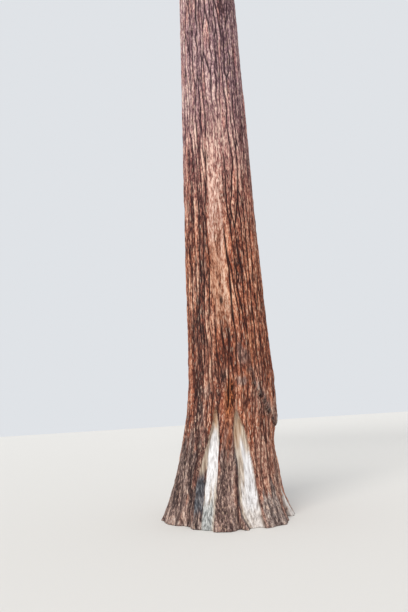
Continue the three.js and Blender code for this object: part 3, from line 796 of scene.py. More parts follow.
def make_trunk(material):
    pieces = []
    for plan in TRUNK_PIECES:
        rows = [
            np.linspace(low, high, max(2, round((high - low) / step)), endpoint=False)
            for low, high, step in plan["rows"]
        ]
        heights = np.append(np.concatenate(rows), plan["rows"][-1][1])
        columns = trunk_columns()[:: plan["every"]]
        azimuth = np.tile(columns, len(heights))
        z = np.repeat(heights, len(columns))
        lift, *values = trunk_form(azimuth, z)
        points = trunk_axis(z) + outward(azimuth) * (trunk_radius(azimuth, z) + lift)[:, None]
        ends = trunk_axis(heights[[0, -1]])
        around = (columns - columns[0]) % 360 / 360
        along = np.append(0, np.cumsum(np.sqrt(np.diff(heights))))
        attributes = dict(zip(CHANNELS, values))
        pieces.append(
            capped_tube(plan["name"], points, ends, around, along / along[-1], material, attributes)
        )
    return pieces


# The crown's plan, by the source's rule.
ROOM_STEP = 0.06
SLACK_REACH = 3


def sweep(start, azimuth, yaw, pitches, length, steps):
    path = [np.array(start, float)]
    for i in range(steps):
        t = (i + 0.5) / steps
        pitch = math.radians(between(pitches, t))
        way = outward(azimuth + yaw * t) * math.cos(pitch)
        way[2] = math.sin(pitch)
        path.append(path[-1] + way * (length / steps))
    return np.array(path)


def crown_reach(z):
    below = (TOP - z) / (TOP - CROWN_FOOT)
    tuck = FOOT_TUCK * clamp01((below - SHOULDER) / (1 - SHOULDER)) ** 2
    dome = DOME["least"] + (1 - DOME["least"]) * (1 - (1 - min(1, below / SHOULDER)) ** DOME["power"])
    return CROWN_REACH * dome * (1 - tuck)


def plan_bough(i):
    following = draws(100 + i)
    share = i / (BOUGHS["count"] - 1)

    def drawn(name):
        return between(BOUGHS[name], share) + drift(following, BOUGH_DRIFT[name])

    azimuth = FIRST_AZIMUTH + i * GOLDEN_ANGLE + drift(following, BOUGH_DRIFT["azimuth"])
    height = drawn("height")
    pitches = [drawn("trunk_pitch"), drawn("tip_pitch")]
    yaw = drift(following, BOUGH_DRIFT["yaw"])
    bare = drawn("bare")
    trunk = bole_radius(height)
    run = trunk + bare * (crown_reach(height) - trunk)
    path = sweep(trunk_axis(height), azimuth, yaw, pitches, run, BOUGHS["steps"])
    thick = between(BOUGHS["radius"], share) * (1 + drift(following, BOUGH_DRIFT["radius"]))
    along = np.linspace(0, 1, BOUGHS["steps"] + 1)
    radii = thick * lerp(1, BOUGHS["tip_radius"], along ** BOUGHS["taper"])
    return {"share": share, "azimuth": azimuth + yaw, "pitch": pitches[1], "path": path, "radii": radii}


def half_size(plan, span, share):
    return span * plan["half_out"], between(plan["half_side"], share), between(plan["half_up"], share)


def mass_on_bough(bough, i):
    following = draws(200 + i)
    tip = bough["path"][-1]
    reach = crown_reach(tip[2]) * between(MASS_DRIFT["edge"], following())
    span = max(MASSES["least_span"], reach - math.hypot(tip[0] - trunk_axis(tip[2])[0], tip[1]))
    share = bough["share"]
    pitches = [bough["pitch"], bough["pitch"] + between(MASSES["upturn"], share)]
    yaw = drift(following, MASS_DRIFT["yaw"])
    stem = sweep(tip, bough["azimuth"], yaw, pitches, span * MASSES["stem"], STEM["steps"])
    half = half_size(MASSES, span, share)
    thick = bough["radii"][-1]
    share = share * BOUGH_SHARE
    return {"share": share, "azimuth": bough["azimuth"], "stem": stem, "half": half, "thick": thick}


def mass_on_trunk(i):
    following = draws(300 + i)
    share = i / (UPPER["count"] - 1)
    azimuth = FIRST_AZIMUTH + (BOUGHS["count"] + i) * GOLDEN_ANGLE
    azimuth += drift(following, MASS_DRIFT["upper_azimuth"])
    height = between(UPPER["height"], share)
    pitch = between(UPPER["pitch"], share)
    trunk = bole_radius(height)
    rise = (crown_reach(height) - trunk) * math.tan(math.radians(pitch)) / 2
    span = crown_reach(height + rise) * between(MASS_DRIFT["edge"], following()) - trunk
    inside = trunk / 2
    start = trunk_axis(height) + outward(azimuth) * (trunk - inside)
    pitches = [pitch + added for added in UPPER["pitch_turn"]]
    yaw = drift(following, MASS_DRIFT["upper_yaw"])
    stem = sweep(start, azimuth, yaw, pitches, span * UPPER["stem"] + inside, STEM["steps"])
    half = half_size(UPPER, span, share)
    thick = between(UPPER["radius"], share)
    share = lerp(BOUGH_SHARE, 1, share)
    return {"share": share, "azimuth": azimuth, "stem": stem, "half": half, "thick": thick}


def leader_mass():
    stem = sweep(trunk_axis(STEM_TIP), 0, 0, [90, 90], (TOP - STEM_TIP) * LEADER["stem"], STEM["steps"])
    thick = TIP_RADIUS * LEADER["radius"]
    return {"share": 1, "azimuth": 0, "stem": stem, "half": LEADER["half"], "thick": thick}


def plan_masses(boughs):
    masses = [mass_on_bough(bough, i) for i, bough in enumerate(boughs)]
    masses += [mass_on_trunk(i) for i in range(UPPER["count"])]
    masses.append(leader_mass())
    for mass in masses:
        mass["middle"] = mass["stem"][len(mass["stem"]) // 2]
        mass["out"] = outward(mass["azimuth"])
        mass["side"] = outward(mass["azimuth"] + 90)
    return masses


def off_axis(points):
    return np.hypot(points[:, 0] - trunk_axis(points[:, 2])[:, 0], points[:, 1])


def inside_space(mass, masses, points, slack=0.0):
    """Which points are in a mass's own space, or within a little slack of it."""
    away = points - mass["middle"]
    out, side, up = mass["half"]
    level = (away @ mass["out"] / out) ** 2 + (away @ mass["side"] / side) ** 2
    reach = np.sqrt(level + (away[:, 2] / up) ** 2)
    keeps = (reach <= 1 + SLACK_REACH * slack / min(mass["half"])) & (points[:, 2] <= TOP)
    keeps &= points[:, 2] >= CROWN_FOOT
    for other in masses:
        if other is mass:
            continue
        way = other["middle"] - mass["middle"]
        weighted = way * (1, 1, FLATTEN**2)
        keeps &= (away - way / 2) @ weighted <= (slack - CLEAR) * np.linalg.norm(weighted)
    clear = off_axis(points) > bole_radius(points[:, 2]) + 2 * CLEAR
    return keeps & (clear | (points[:, 2] > STEM_TIP))


def room_along(mass, masses, start, way):
    """How far a line may run before it leaves a mass's own space."""
    far = np.arange(1, int(TWIGS["most"] / ROOM_STEP) + 1) * ROOM_STEP
    stays = inside_space(mass, masses, start + far[:, None] * way)
    return ROOM_STEP * (len(far) if stays.all() else int(np.argmin(stays)))


def clear_of_boughs(boughs, start, end):
    samples = start + np.linspace(0, 1, 10)[1:, None] * (end - start)
    for bough in boughs:
        for k in range(len(bough["path"]) - 1):
            a, b = bough["path"][k], bough["path"][k + 1]
            t = clamp01((samples - a) @ (b - a) / ((b - a) @ (b - a)))
            gaps = np.linalg.norm(samples - (a + t[:, None] * (b - a)), axis=-1)
            if (gaps < bough["radii"][k] + TWIGS["clear"]).any():
                return False
    return True


def plan_twigs(mass, masses, boughs, seed):
    following = draws(seed)
    twigs = []
    last = len(mass["stem"]) - 1
    count = TWIGS["low"] if mass["share"] < BOUGH_SHARE else TWIGS["high"]
    for k in range(count):
        place, roll, lift, length = [following() for _ in range(4)]
        at = lerp(TWIGS["from"], TWIGS["to"], (k + TWIGS["stray"] * place) / (count - TWIGS["spare"]))
        low = min(last - 1, int(at * last))
        start = lerp(mass["stem"][low], mass["stem"][low + 1], at * last - low)
        stem_way = unit(mass["stem"][low + 1] - mass["stem"][low])
        angle = math.radians(k * GOLDEN_ANGLE + TWIGS["roll"] * roll)
        across = unit(np.cross(stem_way, UP if abs(stem_way[2]) < 0.999 else ALONG_X))
        above = np.cross(across, stem_way)
        way = unit(part_way(across, above * TWIGS["flat"], angle))
        way = unit(way + stem_way * TWIGS["forward"])
        way = unit(way + UP * TWIGS["lift"] * lift)
        run = room_along(mass, masses, start, way) * between(TWIGS["run"], length)
        end = start + way * run
        if run >= TWIGS["least"] and clear_of_boughs(boughs, start, end):
            twigs.append({"from": start, "to": end, "way": way, "at": at})
    return twigs


def spray_frame(way, roll):
    """A spray's own side and normal, when it is rolled about its way."""
    side = np.cross(way, UP)
    side = unit(side) if np.linalg.norm(side) > 1e-6 else ALONG_X
    turned_side = part_way(side, unit(np.cross(way, side)), roll)
    return turned_side, np.cross(way, turned_side)


def plan_sprays(mass, masses, twigs, seed):
    following = draws(seed)
    stem_way = unit(mass["stem"][-1] - mass["stem"][-2])
    planned = [(mass["stem"][-1] - stem_way * SPRAY["root"], stem_way)]
    for twig in twigs:
        planned.append((twig["to"] - twig["way"] * SPRAY["root"], twig["way"]))
        side = unit(np.cross(twig["way"], UP))
        for place, hand in SIDE_SPRAYS:
            way = unit(twig["way"] + side * hand * between(SIDE_SPREAD, following()))
            planned.append((lerp(twig["from"], twig["to"], place), way))
    sprays = []
    for root, way in planned:
        roll = drift(following, SPRAY["roll"])
        size = between(SPRAY["size"], following())
        side, normal = spray_frame(way, roll)
        for tried in SPRAY_TRIES:
            length = between(SPRAY["length"], mass["share"]) * size * tried
            rim = root + length * np.array([x * way + y * side for x, y in SPRAY_RIM])
            if inside_space(mass, masses, rim).all():
                sprays.append({"root": root, "way": way, "side": side, "normal": normal, "length": length})
                break
    return sprays


# Wood of the crown.


def limb_rings(path, radii, sides):
    """Rings of points square to a path, with their centres' way."""
    ways = unit(np.gradient(path, axis=0))
    side = np.cross(ways[0], UP if abs(ways[0][2]) < 0.9 else ALONG_X)
    rings = []
    for point, way, radius in zip(path, ways, radii):
        side = unit(side - way * (side @ way))
        up = np.cross(side, way)
        angles = -2 * np.pi * np.arange(sides) / sides
        rings.append(point + radius * (np.cos(angles)[:, None] * side + np.sin(angles)[:, None] * up))
    return np.array(rings)


def resampled(path, radii, count):
    """A limb's path and radii at more points, with its corners rounded."""
    t = np.linspace(0, 1, len(path))
    fine = np.linspace(0, 1, count)
    curve = np.stack([np.interp(fine, t, path[:, k]) for k in range(3)], axis=-1)
    for _ in range(max(2, count // 8)):
        curve[1:-1] = (curve[:-2] + 2 * curve[1:-1] + curve[2:]) / 4
    return curve, np.interp(fine, t, radii)


BOUGH_RINGS = 68
BOUGH_SIDES = 20
BOUGH_INSIDE = 0.09  # how far into the trunk a bough's bark goes
BOUGH_SWAY = {"seed": 111, "out": 0.05, "bends": 3.1}
BOUGH_RIBS = 8
BOUGH_RIB = {"length": 0.3, "edge": 0.2, "apart": 9}
BOUGH_WANDER = {"seed": 121, "by": 0.5, "to_metre": 5}
BOUGH_KNOTS = {"seed": 123, "to_metre": 5, "out": 0.7}
COLLAR = {"out": 0.75, "fade": 0.16}
BOUGH_RELIEF = 0.11  # of the radius


def dressed_path(bough, i):
    """A bough's swaying path and its radii, from just inside the trunk, with a collar there."""
    path, radii = resampled(bough["path"], bough["radii"], BOUGH_RINGS)
    out = off_axis(path) - bole_radius(path[:, 2])
    keep = out > -BOUGH_INSIDE
    path, radii, out = path[keep], radii[keep], out[keep]
    t = np.linspace(0, 1, len(path))
    sway = [rough(BOUGH_SWAY["seed"], t * BOUGH_SWAY["bends"], i, k) for k in range(3)]
    path = path + BOUGH_SWAY["out"] * np.stack(sway, axis=-1) * np.sin(np.pi * t)[:, None]
    return path, radii * (1 + COLLAR["out"] * np.exp(-np.maximum(out, 0) / COLLAR["fade"]))


def make_bough(bough, i, material):
    path, radii = dressed_path(bough, i)
    flat = limb_rings(path, radii, BOUGH_SIDES).reshape(-1, 3)
    round_way = unit(flat - np.repeat(path, BOUGH_SIDES, axis=0))
    along = np.linspace(0, 1, len(path))
    turn = np.arange(BOUGH_SIDES) / BOUGH_SIDES
    far = np.repeat(along * np.linalg.norm(path[-1] - path[0]), BOUGH_SIDES)
    wander = rough(BOUGH_WANDER["seed"], 0, far * BOUGH_WANDER["to_metre"], i)
    across = np.tile(turn, len(path)) * BOUGH_RIBS + BOUGH_WANDER["by"] * wander
    rib_points = np.stack([across, far / BOUGH_RIB["length"] + BOUGH_RIB["apart"] * i], axis=-1)
    border, own = cells_at(rib_points, BOUGH_RIBS, CELL_SEEDS["bough"])
    ridge = 1 - np.exp(-border / BOUGH_RIB["edge"])
    knots = noise(flat * BOUGH_KNOTS["to_metre"], BOUGH_KNOTS["seed"])
    relief = BOUGH_RELIEF * (ridge - SURFACE["ridge"] + BOUGH_KNOTS["out"] * knots)
    flat = flat + round_way * (np.repeat(radii, BOUGH_SIDES) * relief)[:, None]
    form = np.stack([ridge, 0.5 + 0.5 * knots, own, own], axis=-1)
    name = f"{numbered('bough', i)}_bark"
    return capped_tube(name, flat, path[[0, -1]], turn, along, material, {"form": form})


class Wood:
    """Collects twigs as tapering tubes and makes one mesh of them."""

    def __init__(self):
        self.points = []
        self.quads = []
        self.triangles = []
        self.count = 0

    def add(self, path, radii, sides):
        rings = limb_rings(path, radii, sides).reshape(-1, 3)
        tip = self.count + len(rings)
        self.points += [rings, path[-1:] + unit(path[-1:] - path[-2:-1]) * radii[-1]]
        self.quads.append(tube_faces(len(path), sides, self.count))
        last = tip - sides + np.arange(sides)
        self.triangles.append(np.stack([last, np.roll(last, -1), np.full(sides, tip)], axis=-1))
        self.count = tip + 1

    def piece(self, name, material):
        faces = [np.concatenate(self.quads), np.concatenate(self.triangles)]
        return new_piece(name, np.concatenate(self.points), faces, [material])


# Needles. A tuft is a short shoot with blades round it, and a few tufts are drawn once and used again.
TUFT_KINDS = 8
TUFT_SEEDS = {"spin": 201, "kind": 202, "light": 203}
TUFT_BLADES = 7
TUFT_LENGTH = 0.27
BLADE = {"width": 0.3, "fold": 0.1}  # of a blade's length
TUFT = {  # its shoot and blades are as parts of its length, and its angles in degrees
    "turn": 30, "tilt": 0.3, "spread": (62, 10), "stray": 10, "shoot": 0.52, "blade": (0.6, 0.48),
    "size": (0.85, 1.15),
}
SPRAY_WIDTH = {"along": [0, 0.3, 0.7, 1], "half": [0.16, 0.33, 0.24, 0.08]}  # of its length
SIDE_AXES = {
    "apart": 0.125, "least": 0.16, "spread": (62, 34), "fewest": 3, "own": 0.97, "from": 0.08, "over": 0.84,
    "stray": 0.5, "flat": 0.75, "lift": 0.25, "size": (0.8, 1.2),
}
TUFTS = {
    "apart": 0.075, "size": (0.8, 1.2), "fewest": 2, "from_end": 0.05, "turn": 40, "first": 0.6,
    "forward": 0.75, "out": 0.8, "lift": 0.2,
}
TUFT_HEART = 0.6  # the place along a tuft that has to be in its mass's space, within a slack
TUFT_SLACK = 0.05
REACH_SLACK = 0.1
CROWN_TOP = {"from": 37.4, "radius": 1.9}


def tuft_kind(k):
    """A tuft's blades along +X for a length of 1: four points and two faces each."""
    following = draws(900 + k)
    points = []
    for b in range(TUFT_BLADES):
        along = b / (TUFT_BLADES - 1)
        angle = math.radians(b * GOLDEN_ANGLE + TUFT["turn"] * following())
        spread = math.radians(between(TUFT["spread"], along) + drift(following, TUFT["stray"]))
        around = np.array([0, math.cos(angle), math.sin(angle)])
        way = np.array([math.cos(spread), 0, 0]) + around * math.sin(spread)
        root = np.array([TUFT["shoot"] * along, 0, 0])
        length = between(TUFT["blade"], along) * between(TUFT["size"], following())
        side = unit(np.cross(way, around + ALONG_X * TUFT["tilt"]))
        fold = np.cross(side, way) * length * BLADE["fold"]
        middle = root + way * length / 2
        half = side * length * BLADE["width"] / 2
        points += [root, middle - half - fold, root + way * length, middle + half - fold]
    return np.array(points)


def side_axes(spray, following):
    """The axes of one spray: its own, and others that leave it on all sides within its outline."""
    root, way, side, normal, length = [spray[name] for name in ("root", "way", "side", "normal", "length")]
    axes = [(root, root + way * length * SIDE_AXES["own"])]
    count = max(SIDE_AXES["fewest"], round(length / SIDE_AXES["apart"]))
    for k in range(count):
        t = SIDE_AXES["from"] + SIDE_AXES["over"] * (k + SIDE_AXES["stray"] * following()) / count
        width = length * np.interp(t, SPRAY_WIDTH["along"], SPRAY_WIDTH["half"])
        angle = math.radians(k * GOLDEN_ANGLE)
        across = unit(part_way(side, normal * SIDE_AXES["flat"], angle))
        spread = math.radians(between(SIDE_AXES["spread"], t))
        axis_way = unit(part_way(way, across, spread) + UP * SIDE_AXES["lift"])
        run = max(SIDE_AXES["least"], width * between(SIDE_AXES["size"], following()))
        start = root + way * length * t
        axes.append((start, start + axis_way * run))
    return axes


FILL = {"most": 15, "whole": 4.4, "power": 0.6, "least": 0.5, "reach": (0.5, 0.96), "back": 0.35, "knots": 8}


def fill_sprays(mass, masses, twigs, following):
    """More sprays, from the mass's wood to places all over its space, where the twigs leave it open."""
    wood = [mass["stem"]] + [np.array([twig["from"], twig["to"]]) for twig in twigs]
    along = np.linspace(0, 1, FILL["knots"])[:, None, None]
    knots = np.concatenate([lerp(path[:-1], path[1:], along).reshape(-1, 3) for path in wood])
    sprays = []
    count = round(FILL["most"] * min(1, (math.prod(mass["half"]) / FILL["whole"]) ** FILL["power"]))
    for k in range(count):
        up = 1 - 2 * (k + 0.5) / count
        angle = math.radians(k * GOLDEN_ANGLE)
        flat = math.sqrt(1 - up * up)
        way = part_way(mass["out"] * flat, mass["side"] * flat, angle) + UP * up
        room = room_along(mass, masses, mass["middle"], way)
        target = mass["middle"] + way * room * between(FILL["reach"], following() ** 0.5)
        gaps = np.linalg.norm(knots - target, axis=-1)
        inward = (knots - mass["middle"]) @ mass["out"]
        start = knots[np.argmin(gaps + FILL["back"] * inward)]
        length = np.linalg.norm(target - start)
        if length < FILL["least"]:
            continue
        spray_way = (target - start) / length
        side, normal = spray_frame(spray_way, drift(following, SPRAY["roll"]))
        sprays.append({"root": start, "way": spray_way, "side": side, "normal": normal, "length": length})
    return sprays


def tufts_on(axis, following):
    """Places, ways and sizes of the tufts along an axis."""
    start, end = axis
    length = np.linalg.norm(end - start)
    way = (end - start) / length
    side, normal = spray_frame(way, 0)
    count = max(TUFTS["fewest"], round(length / TUFTS["apart"]))
    tufts = [(end - way * TUFTS["from_end"], way, 1.0)]
    for k in range(count):
        angle = math.radians(k * GOLDEN_ANGLE + TUFTS["turn"] * following())
        around = part_way(side, normal, angle)
        tuft_way = unit(way * TUFTS["forward"] + around * TUFTS["out"] + UP * TUFTS["lift"])
        place = start + (end - start) * (k + TUFTS["first"]) / count
        tufts.append((place, tuft_way, between(TUFTS["size"], following())))
    return tufts


def plan_foliage(masses, boughs):
    """Everything on each mass: its twigs, the axes on them and the tufts on those."""
    plans = []
    for i, mass in enumerate(masses):
        twigs = plan_twigs(mass, masses, boughs, 400 + i)
        sprays = plan_sprays(mass, masses, twigs, 1400 + i)
        following = draws(500 + i)
        sprays += fill_sprays(mass, masses, twigs, following)
        axes = [axis for spray in sprays for axis in side_axes(spray, following)]
        tufts = [tuft for axis in axes for tuft in tufts_on(axis, following)]
        places, ways, sizes = [np.array(values) for values in zip(*tufts)]
        sizes = sizes * TUFT_LENGTH
        tips = places + ways * sizes[:, None]
        from_axis = off_axis(tips)
        hearts = places + ways * sizes[:, None] * TUFT_HEART
        keep = inside_space(mass, masses, hearts, slack=TUFT_SLACK)
        above = np.maximum(tips[:, 2] - CROWN_TOP["from"], 0) / (TOP + REACH_SLACK - CROWN_TOP["from"])
        keep &= (from_axis < CROWN_REACH + REACH_SLACK) & (above < 1)
        keep &= (above == 0) | (np.hypot(from_axis / CROWN_TOP["radius"], above) < 1)
        plans.append({
            "mass": mass, "twigs": twigs, "axes": axes, "name": numbered("foliage", i),
            "places": places[keep], "ways": ways[keep], "sizes": sizes[keep],
        })
    return plans


def needle_arrays(plan, kinds, seed):
    """Points, faces and tints of a mass's tufts. The tints paint light and shade by each tuft's place in its
    mass.
    """
    places, ways, sizes = plan["places"], plan["ways"], plan["sizes"]
    number = np.arange(len(places))
    cells = np.stack([number, number * 0 + seed, number * 0], axis=-1)
    spin = scatter(cells, TUFT_SEEDS["spin"]) * 2 * np.pi
    side = unit(np.cross(ways, NEARLY_UP))
    normal = np.cross(ways, side)
    first = side * np.cos(spin)[:, None] + normal * np.sin(spin)[:, None]
    second = np.cross(ways, first)
    shapes = np.array(kinds)[(scatter(cells, TUFT_SEEDS["kind"]) * TUFT_KINDS).astype(int)]
    basis = np.stack([ways, first, second], axis=1)
    points = places[:, None, :] + sizes[:, None, None] * np.einsum("nvk,nkc->nvc", shapes, basis)
    blades = points.reshape(-1, 4, 3)
    start = np.arange(len(blades))[:, None] * 4
    faces = np.concatenate([start + np.array([0, 3, 2]), start + np.array([0, 2, 1])], axis=1).reshape(-1, 3)
    mass = plan["mass"]
    away = places - mass["middle"]
    out = np.sqrt(((away / np.array(LIGHT["half"])) ** 2).sum(-1))
    light = LIGHT["out"] * out + LIGHT["up"] * away[:, 2]
    light = light + LIGHT["drift"] * (scatter(cells, TUFT_SEEDS["light"]) - 0.5) + LIGHT["way"] * ways[:, 2]
    tint = np.clip(np.searchsorted(TINT_STEPS, light), 0, len(TINTS) - 1)
    return blades.reshape(-1, 3), faces, np.repeat(tint, TUFT_BLADES * 2)


# Needle tints, from painted shade inside a mass to painted light at its outside; the palest are also the
# fresh tips.
TINTS = [
    ("needles_shade", (56, 80, 66)),
    ("needles_deep_shade", (78, 108, 90)),
    ("needles_blue", (102, 136, 118)),
    ("needles_green", (122, 155, 128)),
    ("needles_lit", (146, 177, 143)),
    ("needles_lit_tip", (172, 198, 156)),
]
TINT_STEPS = [0.2, 0.42, 0.62, 0.84, 1.06]
LIGHT = {"half": (1.7, 1.7, 1.4), "out": 0.55, "up": 0.3, "drift": 0.5, "way": 0.2}  # painted light and shade: paler at the outside, higher up and facing up
MOST_FACES = 190000


def grouped(plans, weight):
    """Splits the masses, from the lowest up, into groups that stay under a piece's most faces."""
    total = sum(weight(plan) for plan in plans)
    groups = math.ceil(total / MOST_FACES)
    parts = [[] for _ in range(groups)]
    done = 0
    for plan in sorted(plans, key=lambda plan: plan["mass"]["middle"][2]):
        parts[min(groups - 1, int(done / total * groups))].append(plan)
        done += weight(plan)
    return parts


def make_needles(plans, materials):
    kinds = [tuft_kind(k) for k in range(TUFT_KINDS)]
    made = []
    parts = grouped(plans, lambda plan: len(plan["places"]) * TUFT_BLADES * 2)
    for number, part in enumerate(parts):
        arrays = [needle_arrays(plan, kinds, int(plan["name"][-2:])) for plan in part]
        starts = np.cumsum([0] + [len(points) for points, _, _ in arrays])
        points, faces, tints = zip(*arrays)
        faces = [own + start for own, start in zip(faces, starts)]
        points, faces, tints = [np.concatenate(rows) for rows in (points, faces, tints)]
        piece = new_piece(f"needles_{number + 1}", points, [faces], materials, slots=tints)
        made.append((piece, [plan["name"] for plan in part]))
    return made


STEM_SHAPE = {"points": 14, "sides": 8}
TWIG_SHAPE = {"points": 5, "sides": 6}
TWIG_WEIGHT = {"axis": 9, "mass": 150}  # roughly how many faces each takes
LONG_TWIG = 0.5
TWIG_SAG = 0.07
# A fine twig's radii from root to tip, and what is added to each for a metre of its length.
LONG_RADII = [(0.01, 0.013), (0.008, 0.006), (0.004, 0)]
SHORT_RADII = [(0.006, 0.012), (0.003, 0)]


def add_fine_twig(wood, start, end):
    length = np.linalg.norm(end - start)
    if length > LONG_TWIG:
        path, plan, sides = [start, (start + end) / 2 - UP * TWIG_SAG * length, end], LONG_RADII, 4
    else:
        path, plan, sides = [start, end], SHORT_RADII, 3
    wood.add(np.array(path), [least + added * length for least, added in plan], sides)


def make_twigs(plans, material):
    made = []
    along = np.linspace(0, 1, STEM["steps"] + 1)
    parts = grouped(plans, lambda plan: len(plan["axes"]) * TWIG_WEIGHT["axis"] + TWIG_WEIGHT["mass"])
    for number, part in enumerate(parts):
        wood = Wood()
        for plan in part:
            mass = plan["mass"]
            radii = mass["thick"] * lerp(1, STEM["tip_radius"], along)
            wood.add(*resampled(mass["stem"], radii, STEM_SHAPE["points"]), STEM_SHAPE["sides"])
            for twig in plan["twigs"]:
                thick = mass["thick"] * between(TWIGS["radius"], twig["at"])
                path = np.array([twig["from"], twig["to"]])
                radii = [thick, thick * TWIGS["tip_radius"]]
                wood.add(*resampled(path, radii, TWIG_SHAPE["points"]), TWIG_SHAPE["sides"])
            for start, end in plan["axes"]:
                add_fine_twig(wood, start, end)
        made.append((wood.piece(f"twigs_{number + 1}", material), [plan["name"] for plan in part]))
    return made


# Materials.


def linear(rgb, alpha=1.0):
    """A colour as seen on a screen, 0 to 255, as the shader wants it."""
    c = np.array(rgb, float) / 255
    c = np.where(c <= 0.04045, c / 12.92, ((c + 0.055) / 1.055) ** 2.4)
    return (*[float(v) for v in c], alpha)


SPECULAR = 0.25


class Nodes:
    """A short way to write a material's nodes."""

    def __init__(self, name, roughness):
        self.material = bpy.data.materials.new(name)
        self.material.use_nodes = True
        self.tree = self.material.node_tree
        self.shader = self.tree.nodes["Principled BSDF"]
        self.shader.inputs["Roughness"].default_value = roughness
        self.shader.inputs["Specular IOR Level"].default_value = SPECULAR

    def node(self, kind, **values):
        node = self.tree.nodes.new(kind)
        for key, value in values.items():
            setattr(node, key, value)
        return node

    def put(self, socket, value):
        if isinstance(value, bpy.types.NodeSocket):
            self.tree.links.new(value, socket)
        else:
            socket.default_value = value

    def channels(self, name):
        """The four values of an attribute."""
        attribute = self.node("ShaderNodeAttribute", attribute_name=name)
        parts = self.node("ShaderNodeSeparateColor")
        self.put(parts.inputs[0], attribute.outputs["Color"])
        return parts.outputs[0], parts.outputs[1], parts.outputs[2], attribute.outputs["Alpha"]

    def math(self, operation, a, b=0.0, c=0.0, clamp=False):
        node = self.node("ShaderNodeMath", operation=operation, use_clamp=clamp)
        for socket, value in zip(node.inputs, (a, b, c)):
            self.put(socket, value)
        return node.outputs[0]

    def line(self, value, base, by, clamp=False):
        """A base, and so much more for each whole of a value."""
        return self.math("MULTIPLY_ADD", value, by, base, clamp)

    def add(self, base, value, by, middle=0.5, clamp=False):
        """A base, raised or lowered by how far a value is from its middle."""
        return self.line(self.math("SUBTRACT", value, middle), base, by, clamp)

    def times(self, a, b):
        return self.math("MULTIPLY", a, b)

    def most(self, a, b):
        return self.math("MAXIMUM", a, b)

    def spread(self, value, low, high, to_low=0.0, to_high=1.0):
        node = self.node("ShaderNodeMapRange", interpolation_type="SMOOTHSTEP")
        for socket, number in zip(node.inputs, (value, low, high, to_low, to_high)):
            self.put(socket, number)
        return node.outputs[0]

    def over(self, value, name):
        return self.spread(value, *SPREADS[name])

    def mix(self, factor, a, b, blend="MIX"):
        node = self.node("ShaderNodeMix", data_type="RGBA", blend_type=blend)
        for number, value in ((0, factor), (6, a), (7, b)):
            self.put(node.inputs[number], value)
        return node.outputs[2]

    def ramp(self, value, name):
        stops = RAMPS[name]
        node = self.node("ShaderNodeValToRGB")
        elements = node.color_ramp.elements
        while len(elements) < len(stops):
            elements.new(0.5)
        for element, (place, rgb) in zip(elements, stops):
            element.position = place
            element.color = linear(rgb)
        self.put(node.inputs[0], value)
        return node.outputs[0]

    def where(self):
        return self.node("ShaderNodeTexCoord").outputs["Object"]

    def noise(self, name):
        stretch, detail, roughness = COLOUR_NOISE[name]
        mapping = self.node("ShaderNodeMapping")
        self.put(mapping.inputs[0], self.where())
        self.put(mapping.inputs["Scale"], stretch)
        node = self.node("ShaderNodeTexNoise")
        self.put(node.inputs["Vector"], mapping.outputs[0])
        for label, value in (("Scale", 1.0), ("Detail", detail), ("Roughness", roughness)):
            self.put(node.inputs[label], value)
        return node.outputs[0]

    def by_height(self, name):
        parts = self.node("ShaderNodeSeparateXYZ")
        self.put(parts.inputs[0], self.where())
        return self.over(parts.outputs[2], name)

    def bump(self, value, distance, strength):
        node = self.node("ShaderNodeBump")
        for label, number in (("Strength", strength), ("Distance", distance), ("Height", value)):
            self.put(node.inputs[label], number)
        self.put(self.shader.inputs["Normal"], node.outputs[0])

    def finish(self, colour):
        self.put(self.shader.inputs["Base Color"], colour)
        return self.material


# How many features a noise has to a metre along X, Y and Z, its detail and its roughness.
COLOUR_NOISE = {
    "fibre": ((46, 46, 13), 4, 0.7),
    "flake": ((30, 30, 5.5), 3, 0.6),
    "flake_low": ((34, 34, 9), 3, 0.6),
    "fleck_highlight": ((48, 48, 6.5), 2, 0.5),
    "fleck_highlight_low": ((48, 48, 10), 2, 0.5),
    "lines": ((32, 32, 3.2), 2, 0.5),
    "ruddy": ((8, 8, 0.8), 2, 0.5),
    "broken": ((26, 26, 8), 3, 0.6),
    "grain": ((44, 44, 1.4), 5, 0.62),
    "streak": ((30, 30, 1.6), 3, 0.6),
    "bough": ((40, 40, 40), 4, 0.65),
    "twig": ((30, 30, 30), 3, 0.6),
}
# The two places where a value begins and ends to go over, and what it becomes there, if not 0 and 1.
SPREADS = {
    "low": (1.6, 3.4, 1.0, 0.0),  # heights, as far as glint
    "high": (4.2, 9.0),
    "high_ends": (12.0, 18.0, 1.0, 0.45),
    "worn": (5.2, 6.6, 0.85, 0.2),
    "worn_light": (3.8, 5.6),
    "stain_contrast": (1.3, 1.7, -0.4, 0.8),
    "rubbed_fleck_highlights": (4.6, 6.0, -0.03, 0.05),
    "glint": (4.6, 6.0),
    "ruddy": (0.5, 0.7),
    "ridge_crest": (0.4, 0.8, 0.0, 0.8),
    "rib_crest": (0.3, 0.7),
    "fleck_highlight": (0.55, 0.64),
    "lines": (0.006, 0.03, 0.75, 0.0),
    "broken": (0.4, 0.6),
    "grain": (0.3, 0.7),
    "streak": (0.58, 0.72, 0.0, 0.6),
}
